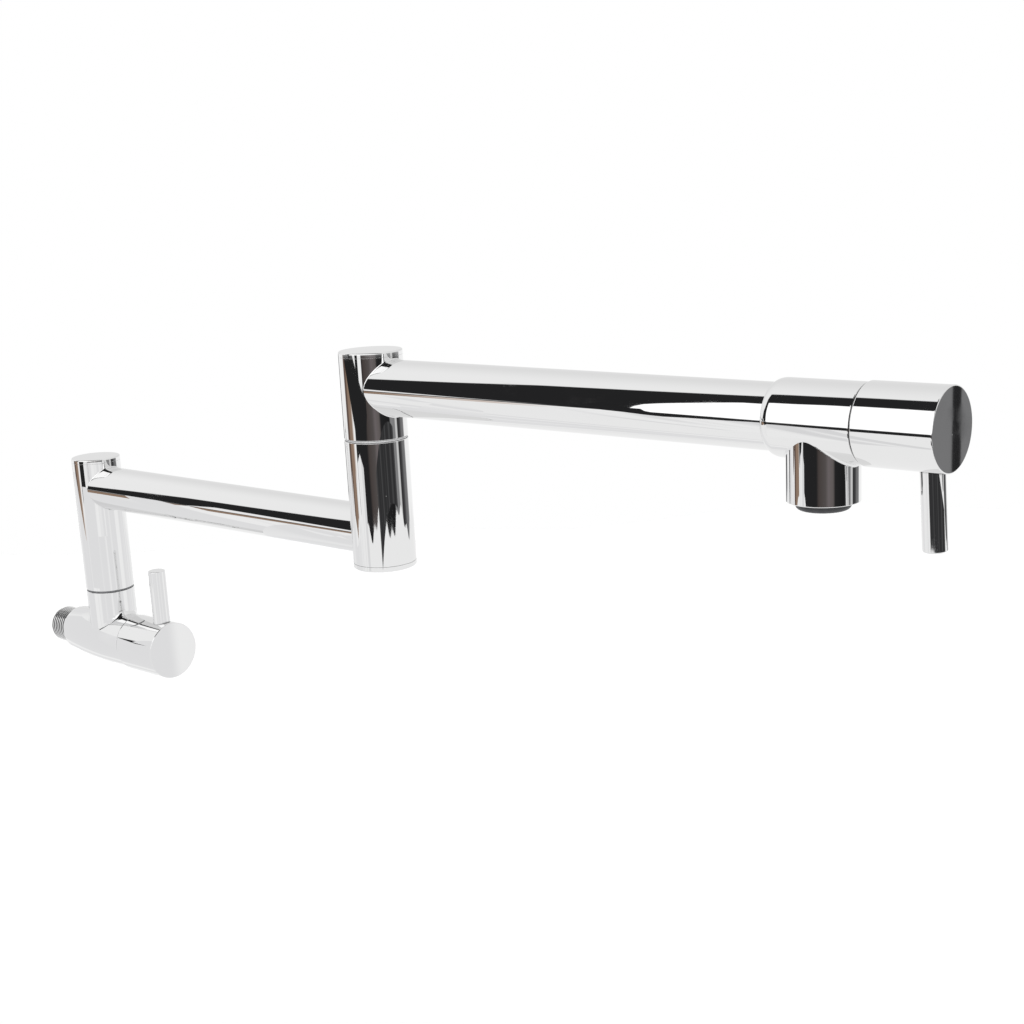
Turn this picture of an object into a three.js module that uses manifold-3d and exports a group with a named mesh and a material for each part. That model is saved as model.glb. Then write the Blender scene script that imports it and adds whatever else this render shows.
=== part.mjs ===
// Wall mounted pot filler: an inlet valve screwed to the wall, an inner and an outer swing arm, and a second
// valve with a downward outlet at the far end.
// Millimetres. +Z is up, the wall is at +Y and the arms point along -Y. The origin is on the inlet axis at
// the inlet body's rear shoulder, which is where the wall fitting ends.
import * as THREE from "three";
import { mergeVertices } from "three/addons/utils/BufferGeometryUtils.js";
import Module from "manifold-3d";

const wasm = await Module();
wasm.setup();

// ---- Driving dimensions ----

// Clearances
const SEAT = 0.3; // between a piece and the seat that holds it
const SLIDE = 0.1; // between the flat faces of a swivel
const PAST = 1; // how far a cutting solid runs past the face that it opens

// Inlet tail, with a G 1/2 pipe thread (20.955 mm across the crests)
const TAIL_RADIUS = 10.4775;
const TAIL_LENGTH = 16; // what stands out behind the body
const TAIL_GRIP = 10; // what is screwed into the body
const TAIL_BORE = 7.25;
const TAIL_LEAD = 1.1; // lead chamfer of the thread

// Valve bodies
const BODY_RADIUS = 15.5;
const SHOULDER_RADIUS = 12.6; // the inlet body's rear end
const TAPER_LENGTH = 42; // over which the inlet body swells to its full radius
const INLET_BODY_LENGTH = 59.3; // shoulder to the handle cap
const WATERWAY_RADIUS = 7;
const EDGE = 0.4; // chamfer on turned edges

// Cartridge, a quarter-turn ceramic disc type; depths are measured back from the body's front face
const CARTRIDGE_THREAD_RADIUS = 10.48;
const CARTRIDGE_SLEEVE_RADIUS = 9;
const CARTRIDGE_SLEEVE_BORE = 7.2;
const CARTRIDGE_THREAD_DEPTH = 10;
const CARTRIDGE_SLEEVE_DEPTH = 30.5;
const SEAT_DEPTH = 31.3; // the shoulder that the cartridge's seal presses on
const WINDOW_NEAR = 13.5; // the side windows, nearest and farthest depth
const WINDOW_FAR = 22.5;
const WINDOW_WIDTH = 9;
const CHAMBER_DEPTH = 25; // where the wide bore round the windows ends
const HEX_RADIUS = 12.6; // across corners, halved
const HEX_HEIGHT = 6;
const SNOUT_RADIUS = 8;
const SNOUT_HEIGHT = 14; // front of the snout, from the body's front face
const DISC_THICKNESS = 2.3;
const DISC_PORT_ANGLE = 78; // degrees, each of the two ports in a disc
const DISC_RIM = 1.3; // width outside the ports
const DISC_HUB = 1.6; // radius inside the ports
const SEAL_THICKNESS = 2.2;
const SEAL_WIDTH = 2.6;
const SPINDLE_RADIUS = 4;
const SPINDLE_FOOT = 2; // thickness of the foot that drives the moving disc
const SPLINE_RADIUS = 3.8;
const SPLINE_TEETH = 20;
const SPLINE_DEPTH = 0.45;
const SPLINE_LENGTH = 9;
const HEAD_RING_THICKNESS = 1.7; // O-ring under the hexagon
const SPINDLE_RING_THICKNESS = 1;
const SPINDLE_RING_INSET = 3.5; // O-ring's centre behind the snout's front
const CLIP_THICKNESS = 0.9;
const CLIP_PROUD = 1.5; // how far the spindle's clip stands out
const CLIP_GAP_ANGLE = 24; // degrees, half of a retaining ring's gap

// Handle: a cap with a rod lever
const CAP_RADIUS = 16.1;
const CAP_LENGTH = 33;
const CAP_FRONT_WALL = 14;
const CAP_CAVITY_RADIUS = 13.4;
const CAP_EDGE = 0.5;
const LEVER_RADIUS = 4.75;
const LEVER_TIP = 46.6; // from the valve's axis
const LEVER_FROM_FRONT = 8.1; // lever's axis behind the cap's front face
const LEVER_SEAT = 14; // bottom of the lever's counterbore, from the valve's axis
const STUD_RADIUS = 3;
const STUD_LENGTH = 4;
const GRUB_LENGTH = 5.2;
const GRUB_HEX = 1.7; // across corners of its hexagon socket, halved
const OUTER_HANDLE_TILT = 5; // degrees, as the outer lever hangs off plumb

// Arms; heights are those of their axes
const INNER_ARM_RADIUS = 12.25;
const OUTER_ARM_RADIUS = 13.4;
const ARM_WALL = 1.4;
const INNER_ARM_HEIGHT = 91.5;
const OUTER_ARM_HEIGHT = 162.6;
const INNER_ARM_REACH = 237.5; // wall column's axis to the elbow's axis
const OUTLET_REACH = 244.8; // elbow's axis to the outlet's axis

// Wall joint
const NECK_OFFSET = 36.5; // column axis in front of the shoulder
const WALL_COLUMN_RADIUS = 13.75;
const NECK_FILLET = 3;
const WALL_JOINT_HEIGHT = 30; // top of the neck
const WALL_COLUMN_ABOVE_ARM = 17.8; // its top, above the inner arm's axis
const WALL_CHAMBER_BELOW_ARM = 14.5; // floor of the wide bore over the bearing, below that axis
const WALL_COLUMN_TOP = INNER_ARM_HEIGHT + WALL_COLUMN_ABOVE_ARM;
const WALL_CHAMBER_FLOOR = INNER_ARM_HEIGHT - WALL_CHAMBER_BELOW_ARM;
const WALL_CHAMBER_RADIUS = 11.8;

// Swivel posts, one size for both joints
const POST_RADIUS = 10;
const POST_BORE = 6.5;
const POST_GRIP = 10; // what is screwed into its socket
const POST_PAST_BEARING = 2.6; // what stands past the bearing, to carry the retaining ring
const RING_GROOVE = 1.2; // groove depth for an O-ring
const RING_FIT = 0.2; // between an O-ring and the floor of its groove
const SWIVEL_RING_THICKNESS = 1.1;
const SWIVEL_RING_INSET = 7.5; // O-ring centres from each end of the bearing
const RETAINER_RADIUS = 11.3;
const RETAINER_GROOVE = 0.8;
const GLIDE_THICKNESS = 0.8;
const GLIDE_INSET = 0.4; // how far the glide ring sits in from the column's surface

// Elbow
const ELBOW_RADIUS = 15.4;
const ELBOW_BELOW_INNER_ARM = 17.1; // its foot, below the inner arm's axis
const ELBOW_BEARING_ABOVE_ARM = 13; // bottom of its bearing, above the inner arm's axis
const ELBOW_JOINT_BELOW_ARM = 25.1; // top of the lower column, below the outer arm's axis
const ELBOW_ABOVE_OUTER_ARM = 17.6; // its top, above the outer arm's axis
const ELBOW_BOTTOM = INNER_ARM_HEIGHT - ELBOW_BELOW_INNER_ARM;
const ELBOW_BEARING_FLOOR = INNER_ARM_HEIGHT + ELBOW_BEARING_ABOVE_ARM;
const ELBOW_JOINT_HEIGHT = OUTER_ARM_HEIGHT - ELBOW_JOINT_BELOW_ARM;
const ELBOW_TOP = OUTER_ARM_HEIGHT + ELBOW_ABOVE_OUTER_ARM;
const ELBOW_CHAMBER_RADIUS = 12.6;
const PLUG_HEIGHT = 2.5; // visible rim of a column's end plug
const PLUG_SPIGOT = 4;
const PORT_MARGIN = 2; // the port into a column is this much smaller than the arm's bore

// Spout body and outlet
const SPOUT_BEHIND_OUTLET = 19.1; // its rear edge, behind the outlet's axis
const SPOUT_AHEAD_OF_OUTLET = 19.6; // its face that meets the handle cap, ahead of that axis
const SPOUT_REAR = OUTLET_REACH - SPOUT_BEHIND_OUTLET; // from the elbow's axis
const SPOUT_SHOULDER = 3.8; // length of its rounded shoulder
const SPOUT_SOCKET = 4; // depth of the arm's socket
const SPOUT_FRONT = OUTLET_REACH + SPOUT_AHEAD_OF_OUTLET; // from the elbow's axis
const OUTLET_RADIUS = 14.3;
const OUTLET_DROP = 31.1; // outlet's rim below the arm's axis
const OUTLET_FILLET = 1.4;
const AERATOR_RADIUS = 10.7;
const AERATOR_WALL = 1.5;
const AERATOR_HEIGHT = 11.2;
const AERATOR_PROUD = 3.2; // below the outlet's rim
const AERATOR_LIP = 0.9;
const AERATOR_ROUND = 1.8; // rounding of its lower edge
const GASKET_THICKNESS = 1.5;
const HOLE_PITCH = 3.3; // between the holes in the aerator's screen
const HOLE_RADIUS = 1.25;
const HOLE_RINGS = 2; // rings of holes round the middle one
const SCREEN_FLOOR = 2; // thickness of the screen's disc
const SCREEN_SKIRT = 1.2; // thickness of its skirt

// Facets round a full turn
const OUTER_FACETS = 28;
const INNER_FACETS = 18;
const SECTION_FACETS = 5; // round an O-ring's section
const FILLET_FACETS = 3; // across a fillet
const FILLET_SINK = 1.6; // how far a fillet's hidden corner lies inside both bodies

// ---- Materials ----

// One material per finish, from the colours seen on the real one.
function finish(color, metalness, roughness) {
  return new THREE.MeshStandardMaterial({ color, metalness, roughness });
}

const CHROME = finish(0xdcdde0, 1, 0.06);
const BRASS = finish(0xc9a252, 1, 0.3);
const STEEL = finish(0xa9acb0, 1, 0.35);
const CERAMIC = finish(0xf2efe6, 0, 0.3);
const RUBBER = finish(0x1c1c1e, 0, 0.8);
const PTFE = finish(0xdfe0e2, 0, 0.5);
const SCREEN = finish(0x4a4c50, 0, 0.5);

// ---- Solids ----

const rad = THREE.MathUtils.degToRad;

// A closed geometry as a solid that can be joined and cut.
function solid(geometry) {
  const bare = geometry.index ? geometry.toNonIndexed() : geometry.clone();
  bare.deleteAttribute("normal");
  bare.deleteAttribute("uv");
  const merged = mergeVertices(bare, 1e-4);
  return new wasm.Manifold(
    new wasm.Mesh({
      numProp: 3,
      vertProperties: merged.attributes.position.array,
      triVerts: new Uint32Array(merged.index.array),
    }),
  );
}

// A solid as a named mesh with its finish.
function piece(name, body, material) {
  const cut = body.getMesh();
  const positions = new Float32Array(cut.vertProperties);
  const geometry = new THREE.BufferGeometry();
  geometry.setAttribute("position", new THREE.BufferAttribute(positions, 3));
  geometry.setIndex(new THREE.BufferAttribute(new Uint32Array(cut.triVerts), 1));
  const flat = geometry.toNonIndexed();
  flat.computeVertexNormals();
  const mesh = new THREE.Mesh(flat, material);
  mesh.name = name;
  return mesh;
}

// A profile of [radius, height] points, counter-clockwise, turned about the Z axis. It closes on itself or
// ends on the axis.
function turned(profile, facets = INNER_FACETS) {
  const onAxis = profile[0][0] === 0 && profile[profile.length - 1][0] === 0;
  const closed = onAxis ? profile : [...profile, profile[0]];
  const points = closed.map(([radius, height]) => new THREE.Vector2(radius, height));
  const geometry = new THREE.LatheGeometry(points, facets);
  geometry.rotateX(Math.PI / 2);
  return solid(geometry);
}

// A plain rod between two heights.
const rod = (radius, low, high, facets = INNER_FACETS) =>
  turned([[0, low], [radius, low], [radius, high], [0, high]], facets);

// A plain ring of rectangular section.
const ring = (inner, outer, low, high, facets = INNER_FACETS) =>
  turned([[inner, low], [outer, low], [outer, high], [inner, high]], facets);

// An O-ring about the Z axis: its section is round, and it fits against a groove's floor.
function oRing(floor, thickness, height) {
  const middle = floor + thickness / 2;
  const geometry = new THREE.TorusGeometry(middle, thickness / 2, SECTION_FACETS, INNER_FACETS);
  geometry.translate(0, 0, height);
  return solid(geometry);
}

// A flat outline pulled up from one height to another.
function pulled(shape, low, high, steps = 6) {
  const options = { depth: high - low, bevelEnabled: false, curveSegments: steps };
  const geometry = new THREE.ExtrudeGeometry(shape, options);
  geometry.translate(0, 0, low);
  return solid(geometry);
}

// A regular outline with the given number of corners.
function corners(count, radius, turn = 0) {
  const points = Array.from({ length: count }, (_, i) => {
    const angle = turn + (2 * Math.PI * i) / count;
    return new THREE.Vector2(radius * Math.cos(angle), radius * Math.sin(angle));
  });
  return new THREE.Shape(points);
}

// A solid turned from the Z axis to the Y axis, pointing along +Y or -Y.
const alongY = (body, direction = 1) => body.rotate([direction > 0 ? -90 : 90, 0, 0]);

// The fillet where an upright branch meets a lying main body along Y. A ball of the fillet's radius rolls
// round the branch and touches both: its centre is (branch + fillet) from the branch's axis and
// (main + fillet) from the main axis. mainAt gives the main radius at a distance along Y. up is +1 for a
// branch above, -1 below.
function saddleFillet(mainAt, branch, fillet, up) {
  const rows = FILLET_FACETS + 2;
  const inner = branch - FILLET_SINK;
  const positions = [];
  for (let i = 0; i < OUTER_FACETS; i++) {
    const angle = (2 * Math.PI * i) / OUTER_FACETS;
    const x = (branch + fillet) * Math.cos(angle);
    const y = (branch + fillet) * Math.sin(angle);
    const main = mainAt(y);
    const z = Math.sqrt((main + fillet) ** 2 - x ** 2);
    const centre = new THREE.Vector3(x, y, z);
    const onBranch = new THREE.Vector3(branch * Math.cos(angle), branch * Math.sin(angle), z);
    const toAxis = main / (main + fillet);
    const onMain = new THREE.Vector3(x * toAxis, y, z * toAxis);
    const toBranch = onBranch.clone().sub(centre).normalize();
    const toMain = onMain.clone().sub(centre).normalize();
    const sweep = toBranch.angleTo(toMain);
    for (let k = 0; k <= FILLET_FACETS; k++) {
      const share = k / FILLET_FACETS;
      const a = (fillet * Math.sin((1 - share) * sweep)) / Math.sin(sweep);
      const b = (fillet * Math.sin(share * sweep)) / Math.sin(sweep);
      const point = centre.clone().addScaledVector(toBranch, a).addScaledVector(toMain, b);
      positions.push(point.x, point.y, up * point.z);
    }
    const hidden = up * (onMain.z - FILLET_SINK);
    positions.push(inner * Math.cos(angle), inner * Math.sin(angle), hidden);
  }
  const faces = [];
  for (let i = 0; i < OUTER_FACETS; i++) {
    const next = (i + 1) % OUTER_FACETS;
    for (let k = 0; k < rows; k++) {
      const over = (k + 1) % rows;
      const quad = [i * rows + k, next * rows + k, next * rows + over, i * rows + over];
      const order = up > 0 ? [0, 2, 1, 0, 3, 2] : [0, 1, 2, 0, 2, 3];
      order.forEach((corner) => faces.push(quad[corner]));
    }
  }
  const geometry = new THREE.BufferGeometry();
  geometry.setAttribute("position", new THREE.BufferAttribute(new Float32Array(positions), 3));
  geometry.setIndex(faces);
  return solid(geometry);
}

// ---- Valve: cartridge and handle ----
// Built along +Z, with z = 0 at the body's front face and the lever pointing along +Y.

// The bore that takes a cartridge, as a solid to cut from a valve body.
function cartridgeBore(waterwayEnd) {
  const ringSeat = CARTRIDGE_THREAD_RADIUS + HEAD_RING_THICKNESS + SEAT;
  const wide = CARTRIDGE_THREAD_RADIUS + SEAT;
  const narrow = CARTRIDGE_SLEEVE_RADIUS + SEAT;
  return turned([
    [0, -waterwayEnd],
    [WATERWAY_RADIUS, -waterwayEnd],
    [WATERWAY_RADIUS, -SEAT_DEPTH],
    [narrow, -SEAT_DEPTH],
    [narrow, -CHAMBER_DEPTH],
    [wide, -CHAMBER_DEPTH],
    [wide, -HEAD_RING_THICKNESS - SLIDE],
    [ringSeat, -HEAD_RING_THICKNESS - SLIDE],
    [ringSeat, PAST],
    [0, PAST],
  ]);
}

// The brass bonnet: sleeve, thread, hexagon and snout, bored for the discs and the spindle, with two side
// windows.
function cartridgeBonnet() {
  const outside = turned([
    [0, -CARTRIDGE_SLEEVE_DEPTH],
    [CARTRIDGE_SLEEVE_RADIUS, -CARTRIDGE_SLEEVE_DEPTH],
    [CARTRIDGE_SLEEVE_RADIUS, -CARTRIDGE_THREAD_DEPTH],
    [CARTRIDGE_THREAD_RADIUS, -CARTRIDGE_THREAD_DEPTH],
    [CARTRIDGE_THREAD_RADIUS, SLIDE],
    [SNOUT_RADIUS, SLIDE],
    [SNOUT_RADIUS, SNOUT_HEIGHT],
    [0, SNOUT_HEIGHT],
  ]);
  const hexagon = pulled(corners(6, HEX_RADIUS), SLIDE, HEX_HEIGHT);
  const shank = SPINDLE_RADIUS + SEAT;
  const inside = turned([
    [0, -CARTRIDGE_SLEEVE_DEPTH - PAST],
    [CARTRIDGE_SLEEVE_BORE, -CARTRIDGE_SLEEVE_DEPTH - PAST],
    [CARTRIDGE_SLEEVE_BORE, -CARTRIDGE_THREAD_DEPTH],
    [shank, -CARTRIDGE_THREAD_DEPTH + CARTRIDGE_SLEEVE_BORE - shank],
    [shank, SNOUT_HEIGHT + PAST],
    [0, SNOUT_HEIGHT + PAST],
  ]);
  const across = 2 * (CARTRIDGE_SLEEVE_RADIUS + PAST);
  const windows = new THREE.BoxGeometry(across, WINDOW_WIDTH, WINDOW_FAR - WINDOW_NEAR);
  windows.translate(0, 0, -(WINDOW_FAR + WINDOW_NEAR) / 2);
  return outside.add(hexagon).subtract(inside).subtract(solid(windows));
}

// A ceramic disc with two opposite ports.
function ceramicDisc(low) {
  const radius = CARTRIDGE_SLEEVE_BORE - SEAT;
  const shape = corners(INNER_FACETS, radius);
  const half = rad(DISC_PORT_ANGLE / 2);
  for (const middle of [0, Math.PI]) {
    const port = new THREE.Path();
    port.absarc(0, 0, radius - DISC_RIM, middle - half, middle + half, false);
    port.absarc(0, 0, DISC_HUB, middle + half, middle - half, true);
    port.closePath();
    shape.holes.push(port);
  }
  return pulled(shape, low, low + DISC_THICKNESS, 4);
}

// The spindle: tongue and foot that drive the moving disc, shank with its two grooves, and splined end.
function spindle(discTop) {
  const footTop = discTop + SEAT + SPINDLE_FOOT;
  const splineFrom = CAP_LENGTH - CAP_FRONT_WALL;
  const grooveFloor = SPINDLE_RADIUS - SPINDLE_RING_THICKNESS + SLIDE;
  const ringAt = SNOUT_HEIGHT - SPINDLE_RING_INSET;
  const clipAt = SNOUT_HEIGHT + SEAT;
  const half = SPINDLE_RING_THICKNESS / 2 + SLIDE;
  const clipFloor = SPINDLE_RADIUS - RETAINER_GROOVE;
  const body = turned([
    [0, discTop + SEAT],
    [CARTRIDGE_SLEEVE_BORE - SEAT, discTop + SEAT],
    [CARTRIDGE_SLEEVE_BORE - SEAT, footTop],
    [SPINDLE_RADIUS, footTop],
    [SPINDLE_RADIUS, ringAt - half],
    [grooveFloor, ringAt - half],
    [grooveFloor, ringAt + half],
    [SPINDLE_RADIUS, ringAt + half],
    [SPINDLE_RADIUS, clipAt - SLIDE],
    [clipFloor, clipAt - SLIDE],
    [clipFloor, clipAt + CLIP_THICKNESS + SLIDE],
    [SPINDLE_RADIUS, clipAt + CLIP_THICKNESS + SLIDE],
    [SPINDLE_RADIUS, splineFrom],
    [0, splineFrom],
  ]);
  const teeth = Array.from({ length: 2 * SPLINE_TEETH }, (_, i) => {
    const angle = (Math.PI * i) / SPLINE_TEETH;
    const radius = i % 2 ? SPLINE_RADIUS : SPLINE_RADIUS - SPLINE_DEPTH;
    return new THREE.Vector2(radius * Math.cos(angle), radius * Math.sin(angle));
  });
  const splineEnd = splineFrom + SPLINE_LENGTH;
  return body.add(pulled(new THREE.Shape(teeth), splineFrom - PAST, splineEnd));
}

// The handle cap: a cup over the cartridge, with a socket for the spline and a threaded hole for the lever.
function handleCap() {
  const cavityEnd = CAP_LENGTH - CAP_FRONT_WALL;
  const outside = turned(
    [
      [0, SEAT],
      [CAP_RADIUS - EDGE, SEAT],
      [CAP_RADIUS, SEAT + EDGE],
      [CAP_RADIUS, CAP_LENGTH - CAP_EDGE],
      [CAP_RADIUS - CAP_EDGE, CAP_LENGTH],
      [0, CAP_LENGTH],
    ],
    OUTER_FACETS,
  );
  const cavity = rod(CAP_CAVITY_RADIUS, 0, cavityEnd);
  const socketEnd = cavityEnd + SPLINE_LENGTH + SEAT;
  const socket = rod(SPLINE_RADIUS + SEAT, cavityEnd - PAST, socketEnd);
  const leverAt = CAP_LENGTH - LEVER_FROM_FRONT;
  const hole = rod(STUD_RADIUS + SEAT, 0, CAP_RADIUS);
  const counterbore = rod(LEVER_RADIUS + SEAT, LEVER_SEAT, CAP_RADIUS + PAST);
  const across = alongY(hole.add(counterbore)).translate([0, 0, leverAt]);
  return outside.subtract(cavity).subtract(socket).subtract(across);
}

// The rod lever with its stud, pointing along +Y from the cap.
function lever() {
  const base = LEVER_SEAT + SEAT;
  const body = turned([
    [0, base - STUD_LENGTH],
    [STUD_RADIUS, base - STUD_LENGTH],
    [STUD_RADIUS, base],
    [LEVER_RADIUS - EDGE, base],
    [LEVER_RADIUS, base + EDGE],
    [LEVER_RADIUS, LEVER_TIP - EDGE],
    [LEVER_RADIUS - EDGE, LEVER_TIP],
    [0, LEVER_TIP],
  ]);
  return alongY(body).translate([0, 0, CAP_LENGTH - LEVER_FROM_FRONT]);
}

// The grub screw under the lever's stud, which holds the cap on the spline.
function grubScrew() {
  const low = SPLINE_RADIUS + SEAT;
  const high = low + GRUB_LENGTH;
  const body = rod(STUD_RADIUS, low, high);
  const socket = pulled(corners(6, GRUB_HEX), high - GRUB_LENGTH / 2, high + PAST);
  return alongY(body.subtract(socket)).translate([0, 0, CAP_LENGTH - LEVER_FROM_FRONT]);
}

// The whole valve as two groups: what is fixed in the body, and what turns with the handle.
function valve(side) {
  const fixed = new THREE.Group();
  const turning = new THREE.Group();
  const sealLow = -SEAT_DEPTH + SLIDE;
  const fixedLow = sealLow + SEAL_THICKNESS + SLIDE;
  const movingLow = fixedLow + DISC_THICKNESS + SLIDE;
  const movingTop = movingLow + DISC_THICKNESS;
  const discRadius = CARTRIDGE_SLEEVE_BORE - SEAT;
  const seal = ring(discRadius - SEAL_WIDTH, discRadius, sealLow, sealLow + SEAL_THICKNESS);
  const headFloor = CARTRIDGE_THREAD_RADIUS + RING_FIT;
  const headRing = oRing(headFloor, HEAD_RING_THICKNESS - SLIDE, -HEAD_RING_THICKNESS / 2);
  const clipFloor = SPINDLE_RADIUS - RETAINER_GROOVE + SLIDE;
  const clip = openRing(clipFloor, SPINDLE_RADIUS + CLIP_PROUD, SNOUT_HEIGHT + SEAT);
  const grooveFloor = SPINDLE_RADIUS - SPINDLE_RING_THICKNESS + RING_FIT;
  const ringAt = SNOUT_HEIGHT - SPINDLE_RING_INSET;
  const spindleRing = oRing(grooveFloor, SPINDLE_RING_THICKNESS - SLIDE, ringAt);
  fixed.add(
    piece(side + "_cartridge_bonnet", cartridgeBonnet(), BRASS),
    piece(side + "_seat_seal", seal, RUBBER),
    piece(side + "_fixed_disc", ceramicDisc(fixedLow), CERAMIC),
    piece(side + "_bonnet_o_ring", headRing, RUBBER),
  );
  turning.add(
    piece(side + "_moving_disc", ceramicDisc(movingLow), CERAMIC),
    piece(side + "_spindle", spindle(movingTop), BRASS),
    piece(side + "_spindle_o_ring", spindleRing, RUBBER),
    piece(side + "_spindle_clip", clip, STEEL),
    piece(side + "_handle_cap", handleCap(), CHROME),
    piece(side + "_lever", lever(), CHROME),
    piece(side + "_grub_screw", grubScrew(), STEEL),
  );
  return { fixed, turning };
}

// ---- Swivel joints ----

// A retaining ring with its gap, lying flat.
function openRing(inner, outer, low) {
  const gap = rad(CLIP_GAP_ANGLE);
  const shape = new THREE.Shape();
  shape.absarc(0, 0, outer, gap, 2 * Math.PI - gap, false);
  shape.absarc(0, 0, inner, 2 * Math.PI - gap, gap, true);
  shape.closePath();
  return pulled(shape, low, low + CLIP_THICKNESS, 12);
}

// A hollow post that stands in a socket and carries a bearing. mouth is the height of the socket's mouth,
// span the bearing's length, and away is +1 if the free end points up, -1 if down. That end has the
// retaining ring's groove.
function swivelPost(mouth, span, away) {
  const gripEnd = -POST_GRIP + SEAT;
  const end = span + POST_PAST_BEARING;
  const floor = POST_RADIUS - RING_GROOVE;
  const half = SWIVEL_RING_THICKNESS / 2 + SEAT;
  const clipFloor = POST_RADIUS - RETAINER_GROOVE;
  const clipLow = span + SEAT;
  const clipHigh = clipLow + CLIP_THICKNESS;
  const grooves = [SWIVEL_RING_INSET, span - SWIVEL_RING_INSET].flatMap((at) => [
    [POST_RADIUS, at - half],
    [floor, at - half],
    [floor, at + half],
    [POST_RADIUS, at + half],
  ]);
  const profile = [
    [POST_BORE, gripEnd],
    [POST_RADIUS, gripEnd],
    ...grooves,
    [POST_RADIUS, clipLow - SLIDE],
    [clipFloor, clipLow - SLIDE],
    [clipFloor, clipHigh + SLIDE],
    [POST_RADIUS, clipHigh + SLIDE],
    [POST_RADIUS, end],
    [POST_BORE, end],
  ];
  const post = turned(profile);
  return (away > 0 ? post : post.rotate([180, 0, 0])).translate([0, 0, mouth]);
}

// The two O-rings and the retaining ring that belong to a post.
function postFittings(prefix, mouth, span, away) {
  const floor = POST_RADIUS - RING_GROOVE + RING_FIT;
  const [near, far] = [SWIVEL_RING_INSET, span - SWIVEL_RING_INSET].map((at) => mouth + away * at);
  const clipLow = away > 0 ? mouth + span + SEAT : mouth - span - SEAT - CLIP_THICKNESS;
  const clipFloor = POST_RADIUS - RETAINER_GROOVE + SLIDE;
  return [
    piece(prefix + "_near_o_ring", oRing(floor, SWIVEL_RING_THICKNESS, near), RUBBER),
    piece(prefix + "_far_o_ring", oRing(floor, SWIVEL_RING_THICKNESS, far), RUBBER),
    piece(prefix + "_retaining_ring", openRing(clipFloor, RETAINER_RADIUS, clipLow), STEEL),
  ];
}

// A glide ring between two column ends.
function glideRing(columnRadius, jointHeight) {
  const low = jointHeight + SLIDE;
  const outer = columnRadius - GLIDE_INSET;
  return ring(POST_RADIUS + SEAT, outer, low, low + GLIDE_THICKNESS, OUTER_FACETS);
}

// Height of the gap that a glide ring fills.
const GLIDE_SPACE = GLIDE_THICKNESS + 2 * SLIDE;

// A column's outside between two heights, with small chamfers.
function columnOutside(radius, low, high, lowEdge, highEdge) {
  return turned(
    [
      [0, low],
      [radius - lowEdge, low],
      [radius, low + lowEdge],
      [radius, high - highEdge],
      [radius - highEdge, high],
      [0, high],
    ],
    OUTER_FACETS,
  );
}

// The port through a column's wall that lets the water into an arm, towards +Y or -Y.
function port(columnRadius, armRadius, height, direction) {
  const radius = armRadius - ARM_WALL - PORT_MARGIN;
  return alongY(rod(radius, 0, columnRadius + PAST), direction).translate([0, 0, height]);
}

// A plug that closes a column's end: a rim flush with the column, and a spigot in its bore. up is +1 for the
// column's top, -1 for its foot.
function endPlug(columnRadius, boreRadius, face, up) {
  const plug = turned(
    [
      [0, -PLUG_HEIGHT - PLUG_SPIGOT],
      [boreRadius - SEAT, -PLUG_HEIGHT - PLUG_SPIGOT],
      [boreRadius - SEAT, -PLUG_HEIGHT + SLIDE],
      [columnRadius, -PLUG_HEIGHT + SLIDE],
      [columnRadius, -EDGE],
      [columnRadius - EDGE, 0],
      [0, 0],
    ],
    OUTER_FACETS,
  );
  return (up > 0 ? plug : plug.rotate([180, 0, 0])).translate([0, 0, face]);
}

// ---- Columns and arms ----

// The column that turns on the wall joint's post.
function wallColumn() {
  const low = WALL_JOINT_HEIGHT + GLIDE_SPACE;
  const high = WALL_COLUMN_TOP - PLUG_HEIGHT;
  const bearing = rod(POST_RADIUS + SEAT, low - PAST, WALL_CHAMBER_FLOOR + PAST);
  const chamber = rod(WALL_CHAMBER_RADIUS, WALL_CHAMBER_FLOOR, high + PAST);
  return columnOutside(WALL_COLUMN_RADIUS, low, high, EDGE, 0)
    .subtract(bearing)
    .subtract(chamber)
    .subtract(port(WALL_COLUMN_RADIUS, INNER_ARM_RADIUS, INNER_ARM_HEIGHT, -1));
}

// The elbow's lower column, which is fixed to the inner arm and holds the bearing.
function elbowLowerColumn() {
  const low = ELBOW_BOTTOM + PLUG_HEIGHT;
  const chamber = rod(ELBOW_CHAMBER_RADIUS, low - PAST, ELBOW_BEARING_FLOOR);
  const bearing = rod(POST_RADIUS + SEAT, ELBOW_BEARING_FLOOR - PAST, ELBOW_JOINT_HEIGHT + PAST);
  return columnOutside(ELBOW_RADIUS, low, ELBOW_JOINT_HEIGHT, 0, EDGE)
    .subtract(chamber)
    .subtract(bearing)
    .subtract(port(ELBOW_RADIUS, INNER_ARM_RADIUS, INNER_ARM_HEIGHT, 1));
}

// The elbow's upper column, which is fixed to the outer arm and holds the post.
function elbowUpperColumn() {
  const low = ELBOW_JOINT_HEIGHT + GLIDE_SPACE;
  const high = ELBOW_TOP - PLUG_HEIGHT;
  const socket = rod(POST_RADIUS + SEAT, low - PAST, low + POST_GRIP + PAST);
  const chamber = rod(ELBOW_CHAMBER_RADIUS, low + POST_GRIP, high + PAST);
  return columnOutside(ELBOW_RADIUS, low, high, EDGE, 0)
    .subtract(socket)
    .subtract(chamber)
    .subtract(port(ELBOW_RADIUS, OUTER_ARM_RADIUS, OUTER_ARM_HEIGHT, -1));
}

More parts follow.
